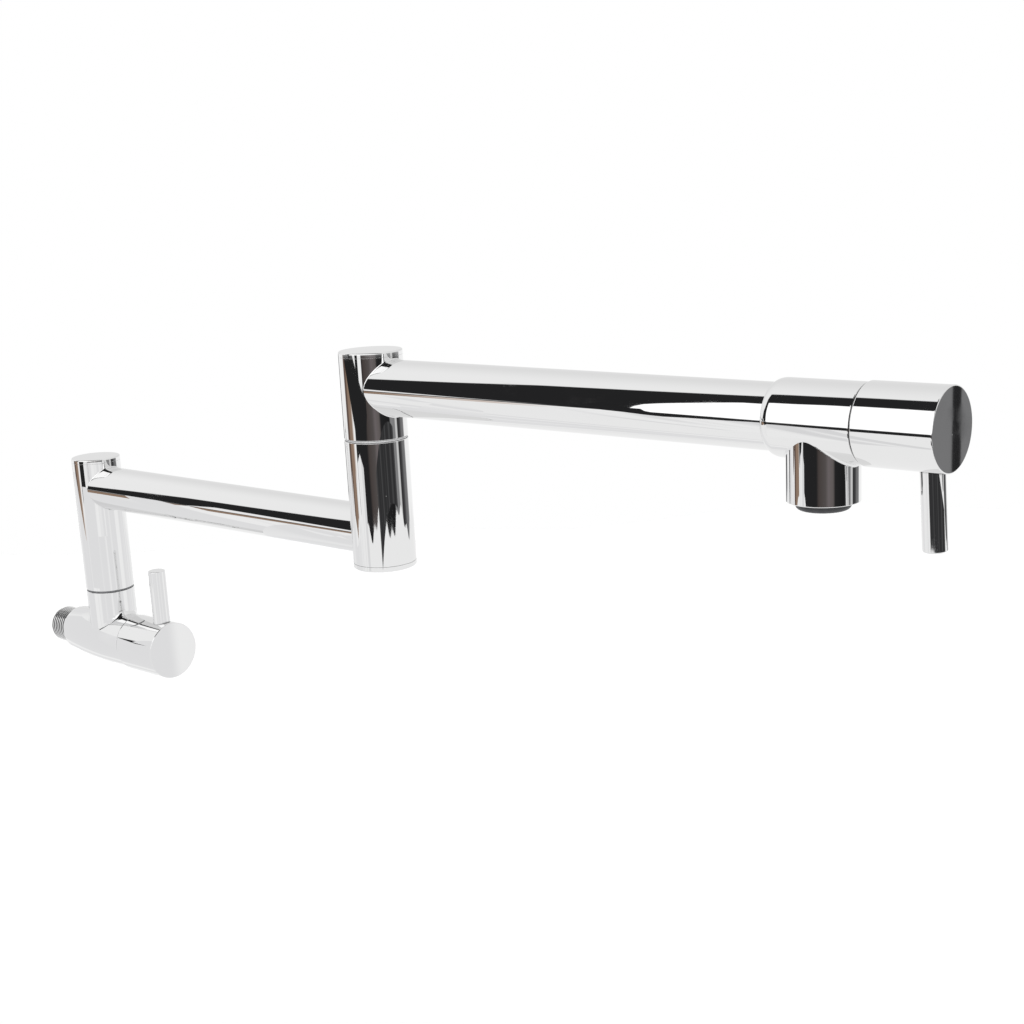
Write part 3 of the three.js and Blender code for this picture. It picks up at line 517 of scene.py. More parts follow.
@dataclass(frozen=True)
class ThreadedChrome(PolishedChrome):
    """Chrome over a cut thread about the Y axis: bright crests, and roots painted darker as painted shade."""

    root_mm: float = 10.0  # distance from the axis where it is darkest
    crest_mm: float = 10.4
    root_shade_color: str = "080809"

    def tint(self, tree: Tree, place: Socket, patch: Socket) -> Socket:
        """Paint shade into the thread's roots: darken the colour towards them, by the distance sqrt(x^2 + z^2)
        from the axis.

        Args:
            tree: the material's nodes.
            place: object coordinates.
            patch: share of the patches; not used.

        Returns:
            The colour.
        """
        # painted shade: the colour darkens towards the thread's roots
        flat = add_node(tree, "VectorMath", (place, (1, 0, 1)), operation="MULTIPLY")
        far = add_node(tree, "VectorMath", (flat,), "Value", operation="LENGTH")
        share = add_node(tree, "MapRange", (far, self.root_mm * MM, self.crest_mm * MM), **SMOOTH)
        return add_node(tree, "Mix", {0: share, 6: self.root_shade_color, 7: self.color}, **MIX_COLORS)


@dataclass(frozen=True)
class TurnedMetal(Finish):
    """Bare metal straight from the lathe: fine tool lines of one feed per turn, and patchy dulling."""

    grain_mm: float = 0.6  # a real feed is near 0.1; drawn as coarse as it needs to show
    relief_mm: float = 0.004
    patch_mm: float = 4.0
    patch_detail: float = 2.0
    patch_range: tuple[float, float] = (0.4, 0.7)
    uneven: float = 0.4

    def relief(self, tree: Tree, place: Socket) -> Socket:
        """Return the tool lines; a wave texture turns 20 radians for each unit of its scale."""
        wave = {"Vector": place, "Scale": 1 / MM / self.grain_mm / 20, "Distortion": self.uneven}
        return add_node(tree, "TexWave", wave, "Fac", bands_direction="Z")


CHROME = PolishedChrome("polished_chrome_plate", "ebebeb", 0.015, 1.0, "ebebeb", 0.05)
THREADS = ThreadedChrome("chrome_plated_thread", "ebebeb", 0.015, 1.0, "ebebeb", 0.05)
BRASS = TurnedMetal("turned_brass", "c8a35a", 0.28, 1.0, "c8a35a", 0.43)
STEEL = TurnedMetal("stainless_spring_steel", "a9acb0", 0.3, 1.0, "a9acb0", 0.45, grain_mm=0.9)
# A moulded or ground non-metal has a fine even grain, and patches a little lighter or darker.
CERAMIC = Finish("ground_alumina", "efece2", 0.25, 0.0, "e4e0d3", 0.25, relief_mm=0.003)
RUBBER = Finish("moulded_nitrile_rubber", "1b1b1d", 0.7, 0.0, "252527", 0.7)
GLIDE = Finish("moulded_acetal", "86878a", 0.4, 0.0, "909194", 0.4, 0.6, 0.004)
PALE_GLIDE = Finish("moulded_ptfe", "e9e9ea", 0.35, 0.0, "dcdcde", 0.35, 0.6, 0.003)
DARK_PLASTIC = Finish("moulded_dark_abs", "3a3b3e", 0.45, 0.0, "434447", 0.45, 0.7, 0.012)


# ----- Pieces -----


class Workshop:
    """Makes pieces from surfaces, dresses them and sets them on the frame."""

    def __init__(self, nodes: dict[str, bpy.types.Object]) -> None:
        """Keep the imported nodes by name, and start with no material made."""
        self.nodes = nodes
        self.made: dict[str, bpy.types.Material] = {}

    def material(self, finish: Finish) -> bpy.types.Material:
        """Return the material of a finish, made once."""
        if finish.name not in self.made:
            self.made[finish.name] = finish.material()
        return self.made[finish.name]

    def piece(self, name: str, node: str, shells: Sequence[Shell], body: str, finish: Finish = CHROME,
              slot: str = "chrome") -> None:
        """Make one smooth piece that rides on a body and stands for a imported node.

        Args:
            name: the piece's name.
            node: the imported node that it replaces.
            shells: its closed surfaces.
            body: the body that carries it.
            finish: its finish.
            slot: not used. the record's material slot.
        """
        whole = joined(shells)
        faces = whole.quads.tolist() + whole.triangles.tolist()
        obj = add_object(name, whole.points, faces, self.material(finish))
        obj.data.polygons.foreach_set("use_smooth", np.ones(len(faces), bool))
        obj.data.normals_split_custom_set_from_vertices(whole.normals.tolist())
        obj.data.update()
        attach(obj, body)
        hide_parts(node)
        log.info("%s: %d faces on %s", name, len(faces), body)

    def keep(self, finish: Finish, *names: str) -> None:
        """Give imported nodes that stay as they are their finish."""
        for materials in (self.nodes[name].data.materials for name in names):
            materials.clear()
            materials.append(self.material(finish))
        log.info("%s: packed nodes in %s", ", ".join(names), finish.name)


@dataclass(frozen=True)
class Handle:
    """A valve's handle: a drum cap with a rod lever."""

    side: str
    seam: tuple[float, float, float]  # where the cap meets the valve body, on its axis
    lean: float  # degrees from straight up to the lever, towards +X
    gap: float = 0.3
    cap_radius: float = 16.1
    cap_length: float = 33.0
    cavity_radius: float = 13.4
    cavity_depth: float = 19.0
    edge: float = 0.45
    rear_edge: float = 0.5
    lever_radius: float = 4.75
    lever_tip: float = 46.6
    lever_behind_front: float = 8.1
    lever_foot: float = 14.3
    tip_edge: float = 0.6

    def cap(self) -> Shell:
        """Return the cup, opening to the valve body."""
        corners = [
            (0, self.cavity_depth, 0),
            (self.cavity_radius, self.cavity_depth, SOFT),
            (self.cavity_radius, self.gap, EASED),
            (self.cap_radius, self.gap, self.rear_edge),
            (self.cap_radius, self.cap_length, self.edge),
            (0, self.cap_length, 0),
        ]
        return turned(corners, closed=False, around=ROUND_LARGE)

    def lever(self) -> Shell:
        """Return the rod, along Z from its foot in the cap to its tip."""
        corners = [
            (0, self.lever_foot, 0),
            (self.lever_radius, self.lever_foot, SOFT),
            (self.lever_radius, self.lever_tip, self.tip_edge),
            (0, self.lever_tip, 0),
        ]
        return turned(corners, closed=False, around=ROUND_SMALL)

    def build(self, shop: Workshop) -> None:
        """Make the cap and the lever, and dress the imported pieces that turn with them.

        Args:
            shop: where pieces are made.
        """
        side, body = self.side, self.side + "_handle"
        x, y, z = self.seam
        cap = self.cap().toward(Toward.FRONT).moved(x, y, z)
        shop.piece(side + "_cap", side + "_handle_cap", [cap], body)
        front = y - self.cap_length + self.lever_behind_front
        lever = self.lever().leaned(self.lean).moved(x, front, z)
        shop.piece(side + "_rod_lever", side + "_lever", [lever], body)
        shop.keep(CERAMIC, side + "_moving_disc")
        shop.keep(BRASS, side + "_spindle")
        shop.keep(RUBBER, side + "_spindle_o_ring")
        shop.keep(STEEL, side + "_spindle_clip", side + "_grub_screw")


@dataclass(frozen=True)
class CartridgeBore:
    """The bore that takes a ceramic cartridge, as profile corners from the front face to the waterway."""

    ring_seat: float = 12.48
    ring_depth: float = 1.8
    thread: float = 10.78
    sleeve: float = 9.3
    waterway: float = 7.0
    chamber_depth: float = 25.0
    seat_depth: float = 31.3
    lip_length: float = 0.6
    lip_fall: float = 0.6
    lip_round: float = 0.4

    def corners(self, front: float) -> list[Corner]:
        """Return the corners from the barrel's side, which the polisher drew in, to the waterway."""
        return [
            (BODY_RADIUS, front - self.lip_length, self.lip_round),
            (BODY_RADIUS - self.lip_fall, front, EASED),
            (self.ring_seat, front, EASED),
            (self.ring_seat, front - self.ring_depth, CRISP),
            (self.thread, front - self.ring_depth, CRISP),
            (self.thread, front - self.chamber_depth, CRISP),
            (self.sleeve, front - self.chamber_depth, CRISP),
            (self.sleeve, front - self.seat_depth, CRISP),
            (self.waterway, front - self.seat_depth, CRISP),
        ]


def glide_ring(column: float, joint: float, at: float, inset: float) -> Shell:
    """A thin flat ring between two column ends.

    Args:
        column: the columns' radius.
        joint: height of the lower column's top.
        at: distance in front of the shoulder.
        inset: how far the ring sits in from the column.

    Returns:
        The closed surface.
    """
    play, thickness, edge = 0.1, 0.8, 0.15
    low, high, out = joint + play, joint + play + thickness, column - inset
    corners = [(POST_BORE, low, edge), (out, low, EASED), (out, high, EASED), (POST_BORE, high, edge)]
    return turned(corners).moved(0, -at, 0)


@dataclass(frozen=True)
class InletBody:
    """The tapered tee at the wall: barrel, neck and the fillet between them, and the threaded tail."""

    length: float = 59.3
    shoulder: float = 12.6
    taper: float = 42.0
    rear_edge: float = 1.1
    swell_start: float = 1.6  # where the taper leaves the rear edge
    swell_steps: int = 40
    socket_round: float = 0.15
    neck_sink: float = 1.0
    neck_fillet: float = 3.0
    tail_radius: float = 10.4775
    tail_length: float = 16.0
    tail_grip: float = 10.0
    tail_bore: float = 7.25
    tail_lead: float = 1.1
    tail_play: float = 0.3
    mouth: float = 0.35  # rounding of the tail's bore
    mouth_land: float = 0.8
    pitch: float = 1.814  # 14 threads per inch
    thread_depth: float = 1.162
    thread_start: float = 1.3
    thread_fade: float = 0.9
    thread_gap: float = 0.05  # from the root's plain part to the shoulder
    root_flat: float = 0.12  # share of the wave that the flat root takes, and the flank after it
    flank: float = 0.72
    hollow: float = 0.35  # how far the flank bends at root and crest
    ring_inset: float = 0.35
    bore: CartridgeBore = CartridgeBore()

    def radius_at(self, distance: Array) -> Array:
        """Return the barrel's radius: R - (R - shoulder) (1 - d / taper)^2 in the taper, then R."""
        share = np.clip(np.asarray(distance, float) / self.taper, 0, 1)
        return BODY_RADIUS - (BODY_RADIUS - self.shoulder) * (1 - share) ** 2

    def barrel(self) -> Shell:
        """Return the barrel with its two sockets and its waterway."""
        swell = np.linspace(self.swell_start, self.taper, self.swell_steps)
        socket, depth = self.tail_radius + self.tail_play, self.tail_grip + self.tail_play
        corners: list[Corner] = [(socket, 0, self.socket_round), (self.shoulder, 0, self.rear_edge)]
        corners += [(float(r), float(d), 0) for r, d in zip(self.radius_at(swell), swell)]
        corners += self.bore.corners(self.length)
        corners += [(self.bore.waterway, depth, CRISP), (socket, depth, CRISP)]
        return turned(corners, around=ROUND_LARGE).toward(Toward.FRONT)

    def neck(self) -> list[Shell]:
        """Return the neck and the fillet at its foot."""
        foot = coped(float(self.radius_at(WALL_AXIS - WALL_COLUMN)), self.neck_sink)
        tube = sleeve(WALL_COLUMN, POST_BORE, foot, level(WALL_JOINT), SOFT)
        fillet = saddle_fillet(lambda y: self.radius_at(WALL_AXIS - y), WALL_COLUMN, self.neck_fillet)
        return [s.moved(0, -WALL_AXIS, 0) for s in (tube, fillet)]

    def tail(self) -> Shell:
        """The threaded tube.

        The thread is a height over the angle a and the distance d from the shoulder: with the phase p = d /
        pitch - a / (2 pi), the wave w = |2 frac(p) - 1| is flattened at crest and root, and the radius is
        crest - depth (1 - w). It fades in past the shoulder's relief and out at the lead chamfer.

        Returns:
            The closed surface, pointing to the wall.
        """
        around, rows = 120, 190
        end, bore, grip, mouth = self.tail_length, self.tail_bore, -self.tail_grip, self.mouth
        angle = full_turn(around)
        d = np.linspace(0.0, end, rows)[:, None]
        phase = d / self.pitch - angle[None] / (2 * math.pi)
        wave = np.abs(2 * (phase % 1.0) - 1)
        flat = np.clip((wave - self.root_flat) / self.flank, 0, 1)
        smooth = flat**2 * (3 - 2 * flat) * self.hollow + flat * (1 - self.hollow)
        start = np.clip((d - self.thread_start) / self.thread_fade, 0, 1)
        root = self.tail_radius - self.thread_depth
        r = root + self.thread_depth * smooth * start
        r = np.minimum(r, self.tail_radius - np.maximum(d - (end - self.tail_lead), 0))
        inside = ((bore + mouth, end), (bore + CRISP, end - CRISP), (bore, end - mouth),
                  (bore, end - self.mouth_land), (bore, grip + SOFT), (bore + EASED, grip),
                  (root - SOFT, grip), (root, grip + SOFT), (root, -self.thread_gap))
        points = np.concatenate([round_points(r, d, angle), *(round_points(*p, angle)[None] for p in inside)])
        along = np.roll(points, -1, 0) - np.roll(points, 1, 0)
        across = np.roll(points, -1, 1) - np.roll(points, 1, 1)
        normals = np.cross(across, along)
        normals /= np.maximum(np.linalg.norm(normals, axis=-1, keepdims=True), TINY)
        return loop_shell(points, normals).toward(Toward.BACK)

    def build(self, shop: Workshop) -> None:
        """Make the body, the tail and the glide ring on the neck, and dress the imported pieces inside.

        Args:
            shop: where pieces are made.
        """
        body = "wall_side"
        shop.piece("inlet_tee", "inlet_body", [self.barrel(), *self.neck()], body)
        shop.piece("threaded_tail", "inlet_tail", [self.tail()], body, THREADS)
        shop.keep(BRASS, "inlet_cartridge_bonnet", "wall_swivel_post")
        shop.keep(CERAMIC, "inlet_fixed_disc")
        shop.keep(RUBBER, "inlet_seat_seal", "inlet_bonnet_o_ring")
        shop.keep(RUBBER, "wall_post_near_o_ring", "wall_post_far_o_ring")
        shop.keep(STEEL, "wall_post_retaining_ring")
        line = glide_ring(WALL_COLUMN, WALL_JOINT, WALL_AXIS, self.ring_inset)
        shop.piece("wall_glide_line", "wall_glide_ring", [line], body, GLIDE, "ptfe")


@dataclass(frozen=True)
class Column:
    """An upright column with its bore."""

    radius: float
    at: float  # distance in front of the shoulder
    low: float
    high: float
    low_edge: float = SOFT
    high_edge: float = SOFT

    def tube(self) -> Shell:
        """Return the column's wall."""
        corners = [
            (POST_BORE, self.low, CRISP),
            (self.radius, self.low, self.low_edge),
            (self.radius, self.high, self.high_edge),
            (POST_BORE, self.high, CRISP),
        ]
        return turned(corners, around=ROUND_LARGE).moved(0, -self.at, 0)


@dataclass(frozen=True)
class Plug:
    """An end plug whose rim is flush with its column."""

    radius: float
    at: float
    face: float  # height of its outer face
    chamber: float  # radius of the column's end that takes its spigot
    way: Toward = Toward.UP  # up for a column's top, down for its foot
    play: float = 0.3
    rim: float = 2.47
    spigot: float = 6.5
    edge: float = 0.8
    rim_round: float = 0.05

    def shell(self) -> Shell:
        """Return the plug."""
        inner = self.chamber - self.play
        corners = [
            (0, -self.spigot, 0),
            (inner, -self.spigot, SOFT),
            (inner, -self.rim, CRISP),
            (self.radius, -self.rim, self.rim_round),
            (self.radius, 0, self.edge),
            (0, 0, 0),
        ]
        shell = turned(corners, closed=False, around=ROUND_LARGE)
        return shell.toward(self.way).moved(0, -self.at, self.face)


@dataclass(frozen=True)
class Arm:
    """A round arm tube between two columns, or from a column into the spout's socket."""

    radius: float
    height: float
    start: float  # distance of its first column's axis in front of the shoulder
    first: float  # radius of the first column
    length: float
    second: float = 0.0  # radius of the column at its far end, if there is one
    wall: float = 1.4
    weld: float = 0.7  # fillet where it meets a column
    sink: float = 1.1

    def shells(self) -> list[Shell]:
        """Return the tube and the weld fillets at its columns."""
        near, far = coped(self.first, self.sink), level(self.length)
        beads = [self.bead(self.first).toward(Toward.FRONT)]
        if self.second:
            cope = coped(self.second, self.sink)
            far = lambda x: self.length - cope(x)  # noqa: E731
            beads.append(self.bead(self.second).toward(Toward.BACK).moved(0, -self.length, 0))
        tube = sleeve(self.radius, self.radius - self.wall, near, far).toward(Toward.FRONT)
        return [s.moved(0, -self.start, self.height) for s in (tube, *beads)]

    def bead(self, column: float) -> Shell:
        """Return the weld fillet between the arm and a column of that radius."""
        return saddle_fillet(level(column), self.radius, self.weld, across=6)


@dataclass(frozen=True)
class InnerArm:
    """The wall column, the inner arm and the elbow's lower column, which turn together."""

    column: Column = Column(WALL_COLUMN, WALL_AXIS, 31.0, 106.8, high_edge=BUTT)
    top: Plug = Plug(WALL_COLUMN, WALL_AXIS, 109.3, 11.8)
    arm: Arm = Arm(12.25, 91.5, WALL_AXIS, WALL_COLUMN, 237.5, ELBOW_COLUMN)
    elbow: Column = Column(ELBOW_COLUMN, ELBOW_AXIS, 76.9, ELBOW_JOINT, low_edge=EASED)
    foot: Plug = Plug(ELBOW_COLUMN, ELBOW_AXIS, 74.4, 12.6, Toward.DOWN)
    ring_inset: float = 0.3

    def build(self, shop: Workshop) -> None:
        """Make the inner arm's pieces.

        Args:
            shop: where pieces are made.
        """
        body = "inner_arm"
        shop.piece("wall_column_tube", "wall_column", [self.column.tube()], body)
        shop.piece("wall_column_plug", "wall_column_top_plug", [self.top.shell()], body)
        shop.piece("inner_arm", "inner_arm_tube", self.arm.shells(), body)
        shop.piece("elbow_lower_tube", "elbow_lower_column", [self.elbow.tube()], body)
        shop.piece("elbow_foot_plug", "elbow_bottom_plug", [self.foot.shell()], body)
        line = glide_ring(ELBOW_COLUMN, ELBOW_JOINT, ELBOW_AXIS, self.ring_inset)
        shop.piece("elbow_glide_line", "elbow_glide_ring", [line], body, PALE_GLIDE, "ptfe")


@dataclass(frozen=True)
class OuterArm:
    """The elbow's upper column, its post and the outer arm, which carries the spout."""

    column: Column = Column(ELBOW_COLUMN, ELBOW_AXIS, 138.5, 177.7, high_edge=BUTT)
    top: Plug = Plug(ELBOW_COLUMN, ELBOW_AXIS, 180.2, 12.6)
    arm: Arm = Arm(13.4, OUTER_HEIGHT, ELBOW_AXIS, ELBOW_COLUMN, 229.4)

    def build(self, shop: Workshop) -> None:
        """Make the outer arm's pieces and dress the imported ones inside.

        Args:
            shop: where pieces are made.
        """
        body = "outer_arm"
        shop.piece("elbow_upper_tube", "elbow_upper_column", [self.column.tube()], body)
        shop.piece("elbow_head_plug", "elbow_top_plug", [self.top.shell()], body)
        shop.piece("outer_arm", "outer_arm_tube", self.arm.shells(), body)
        shop.keep(BRASS, "elbow_swivel_post")
        shop.keep(RUBBER, "elbow_post_near_o_ring", "elbow_post_far_o_ring")
        shop.keep(STEEL, "elbow_post_retaining_ring")


@dataclass(frozen=True)
class Spout:
    """The barrel at the end of the outer arm, with its outlet and aerator."""

    rear: float = 225.7  # distances in front of the elbow's axis
    front: float = 264.4
    outlet_at: float = 244.8
    rear_radius: float = 14.0
    socket: float = 13.7
    socket_depth: float = 4.0
    socket_round: float = 0.05
    shoulder: float = 3.8
    shoulder_steps: int = 16
    shoulder_start: float = 0.12  # radians of the quarter ellipse that the socket's edge takes
    outlet_radius: float = 14.3
    outlet_drop: float = 31.1
    outlet_bore: float = 11.0
    outlet_sink: float = 0.9
    outlet_rim: float = 0.35
    fillet: float = 1.4
    aerator_radius: float = 10.7
    aerator_wall: float = 1.5
    aerator_proud: float = 3.2
    aerator_height: float = 11.2
    aerator_round: float = 1.8
    aerator_lip: float = 0.9
    aerator_lip_round: float = 0.25
    screen_play: float = 0.35
    screen_rise: float = 1.1
    screen_height: float = 8.0
    screen_wall: float = 1.0
    wire_pitch: float = 1.3
    wire: float = 0.42
    wires: int = 6  # of each layer, on each side of the middle one
    wire_short: float = 0.1  # how far inside the ring's outer side a wire ends
    bore: CartridgeBore = CartridgeBore()

    def barrel(self) -> Shell:
        """Make the barrel, whose rear shoulder is a quarter ellipse from the rear radius to the full one.

        Returns:
            The closed surface.
        """
        t = np.linspace(self.shoulder_start, math.pi / 2, self.shoulder_steps)
        radii = self.rear_radius + (BODY_RADIUS - self.rear_radius) * np.sin(t)
        heights = self.rear + self.shoulder * (1 - np.cos(t))
        inner = self.rear + self.socket_depth
        corners: list[Corner] = [(self.socket, self.rear, self.socket_round)]
        corners += [(float(r), float(h), 0) for r, h in zip(radii, heights)]
        corners += self.bore.corners(self.front)
        corners += [(self.bore.waterway, inner, CRISP), (self.socket, inner, CRISP)]
        return turned(corners, around=ROUND_LARGE).toward(Toward.FRONT)

    def outlet(self) -> list[Shell]:
        """Return the outlet tube and the fillet at its root, hanging from the barrel's axis."""
        foot = coped(BODY_RADIUS, self.outlet_sink)
        tube = sleeve(self.outlet_radius, self.outlet_bore, foot, level(self.outlet_drop), self.outlet_rim)
        fillet = saddle_fillet(level(BODY_RADIUS), self.outlet_radius, self.fillet)
        return [s.toward(Toward.DOWN).moved(0, -self.outlet_at, 0) for s in (tube, fillet)]

    def aerator(self) -> Shell:
        """Return the aerator's housing, with z = 0 at the outlet's rim and its rounded edge below."""
        inner, lip, low = self.aerator_radius - self.aerator_wall, self.aerator_lip, -self.aerator_proud
        high = low + self.aerator_height
        corners = [
            (inner - lip, low, self.aerator_lip_round),
            (self.aerator_radius, low, self.aerator_round),
            (self.aerator_radius, high, EASED),
            (inner, high, EASED),
            (inner, low + lip, EASED),
            (inner - lip, low + lip, EASED),
        ]
        return turned(corners)

    def screen(self) -> Shell:
        """The screen: two layers of square bars that cross, each bar cut to the chord of the ring.

        A bar at the offset u has the half length sqrt(r^2 - u^2). The second layer is the first, turned a
        quarter and laid on top.

        Returns:
            The closed bars and their ring.
        """
        reach = self.aerator_radius - self.aerator_wall - self.screen_play
        low = -self.aerator_proud + self.screen_rise
        offsets = np.arange(-self.wires, self.wires + 1) * self.wire_pitch
        half = np.sqrt(reach**2 - offsets**2) - self.wire_short
        corner = np.array([[a, b, c] for a in (-1, 1) for b in (-1, 1) for c in (-1, 1)], float)
        size = np.stack([half, np.full_like(half, self.wire / 2), np.full_like(half, self.wire / 2)], 1)
        boxes = corner[None] * size[:, None]
        boxes[..., 1] += offsets[:, None]
        sides = np.array([[0, 1, 3, 2], [4, 6, 7, 5], [0, 4, 5, 1], [2, 3, 7, 6], [0, 2, 6, 4], [1, 5, 7, 3]])
        quads = (np.arange(len(boxes))[:, None, None] * 8 + sides[None]).reshape(-1, 4)
        normals = np.tile(corner / math.sqrt(3), (len(boxes), 1))
        none = np.zeros((0, 3), int)
        first = Shell(boxes.reshape(-1, 3), normals, quads, none).outward().moved(0, 0, low + self.wire / 2)
        points, normals = (v[:, [1, 0, 2]] * [1, -1, 1] for v in (first.points, first.normals))
        second = Shell(points, normals, quads, none).outward().moved(0, 0, self.wire)
        inner, high = reach - self.screen_wall, low + self.screen_height
        rim = turned([(r, h, CRISP) for r, h in ((inner, low), (reach, low), (reach, high), (inner, high))])
        return joined([first, second, rim])

    def build(self, shop: Workshop) -> None:
        """Make the spout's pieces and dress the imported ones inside.

        Args:
            shop: where pieces are made.
        """
        body, plastic = "outer_arm", (DARK_PLASTIC, "dark_plastic")
        barrel = [s.moved(0, -ELBOW_AXIS, OUTER_HEIGHT) for s in (self.barrel(), *self.outlet())]
        shop.piece("spout_tee", "spout_body", barrel, body)
        place = (0, -ELBOW_AXIS - self.outlet_at, OUTER_HEIGHT - self.outlet_drop)
        shop.piece("aerator_shell", "aerator_housing", [self.aerator().moved(*place)], body, *plastic)
        shop.piece("aerator_mesh", "aerator_screen", [self.screen().moved(*place)], body, *plastic)
        shop.keep(BRASS, "outlet_cartridge_bonnet")
        shop.keep(CERAMIC, "outlet_fixed_disc")
        shop.keep(RUBBER, "outlet_seat_seal", "outlet_bonnet_o_ring", "aerator_gasket")


# ----- Studio -----


WHITE, DARK, WOOD, PALE_WOOD = "ffffff", "262627", "97806f", "d8cbc3"
LEVER_AXIS = 563.3  # distance of the outlet's lever in front of the shoulder
FACING = -138.3  # degrees from +X to the side of the table where the photographer stands
TABLE = -450.0  # height of the table


@dataclass(frozen=True)
class Camera:
    """The camera at the photograph's place."""

    place: tuple[float, float, float] = (-522.8, -824.2, 263.0)
    azimuth: float = -48.32
    elevation: float = 13.6
    roll: float = -2.97
    lens: float = 55.75
    sensor: float = 36.0
    shift: tuple[float, float] = (-0.0015, 0.0342)
    clip: tuple[float, float] = (0.01, 50.0)

    def axes(self) -> list[Array]:
        """Return the camera's right, up and back directions."""
        a, e, r = (math.radians(v) for v in (self.azimuth, self.elevation, self.roll))
        back = np.array([math.sin(a) * math.cos(e), -math.cos(a) * math.cos(e), math.sin(e)])
        right = np.cross(-back, [0.0, 0.0, 1.0])
        right /= np.linalg.norm(right)
        up = np.cross(right, -back)
        return [math.cos(r) * right + math.sin(r) * up, -math.sin(r) * right + math.cos(r) * up, back]

    def build(self) -> None:
        """Make the camera and set it as the scene's."""
        data = bpy.data.cameras.new("camera")
        data.lens, data.sensor_width = self.lens, self.sensor
        data.shift_x, data.shift_y = self.shift
        data.clip_start, data.clip_end = self.clip
        camera = bpy.data.objects.new("camera", data)
        matrix = np.eye(4)
        matrix[:3] = np.stack([*self.axes(), np.array(self.place) * MM], 1)
        camera.matrix_world = Matrix(matrix.tolist())
        bpy.context.scene.collection.objects.link(camera)
        bpy.context.scene.camera = camera


@dataclass(frozen=True)
class LeaningBand:
    """A band of the room, in degrees, whose first edge leans outwards above its foot."""

    color: str
    foot: float  # height where the lean starts
    start: float  # compass angle of the first edge at the foot
    lean: float  # degrees outwards for each degree up
    end: float  # compass angle of the upright edge
    fade: float = 0.0  # height in which the band appears over its foot, or 0 where it goes on below
    soft: float = 0.5  # half the width of its edges


@dataclass(frozen=True)
class Card:
    """A curved card round an upright axis, whose top follows straight lines between the points of its rim."""

    name: str
    at: float  # distance of the axis in front of the shoulder
    radius: float
    low: float
    rim: Curve  # compass angle in degrees and height, in order
    colors: tuple[str, str]  # its colour, and that of its upright creases

    def surface(self) -> tuple[Array, Array]:
        """Return its points, one for each degree along the foot and then the top, and its faces."""
        turns = np.arange(self.rim[0][0], self.rim[-1][0] + 0.5, 1.0)
        tops = np.interp(turns, *zip(*self.rim))
        angle = np.radians(FACING + turns)
        points = np.concatenate([round_points(self.radius, height, angle) for height in (self.low, tops)])
        cell, count = np.arange(len(turns) - 1), len(turns)
        faces = np.stack([cell, cell + 1, cell + count + 1, cell + count], 1)
        return points - np.array([0, self.at, 0]), faces


SOFT_CARD, WHITE_CARD, DARK_CARD = ("eeeeef", "fdfdfd"), ("fcfcfc", "e6e6e7"), ("343435", "4a4a4b")
CARDS = (
    Card("wall_end_card", WALL_AXIS, 150.0, TABLE + 1, (
        (-150, 77), (-110, 77), (-81, 30), (-66, 67), (-62, 35), (28, 35), (30, 77), (110, 77), (140, 20),
    ), SOFT_CARD),
    Card("wall_column_card", WALL_AXIS, 65.0, 20.0, ((-64, 84), (-40, 84), (-16, 74)), SOFT_CARD),
    Card("column_top_card", WALL_AXIS, 200.0, 20.0, ((-26, 77), (40, 77)), SOFT_CARD),
    Card("elbow_card", ELBOW_AXIS, 600.0, TABLE + 1, ((-73, 22), (-62, 30), (-50, 18)), WHITE_CARD),
    Card("dark_card", LEVER_AXIS, 300.0, -12.0, ((-56, 58), (84, 58)), DARK_CARD),
)


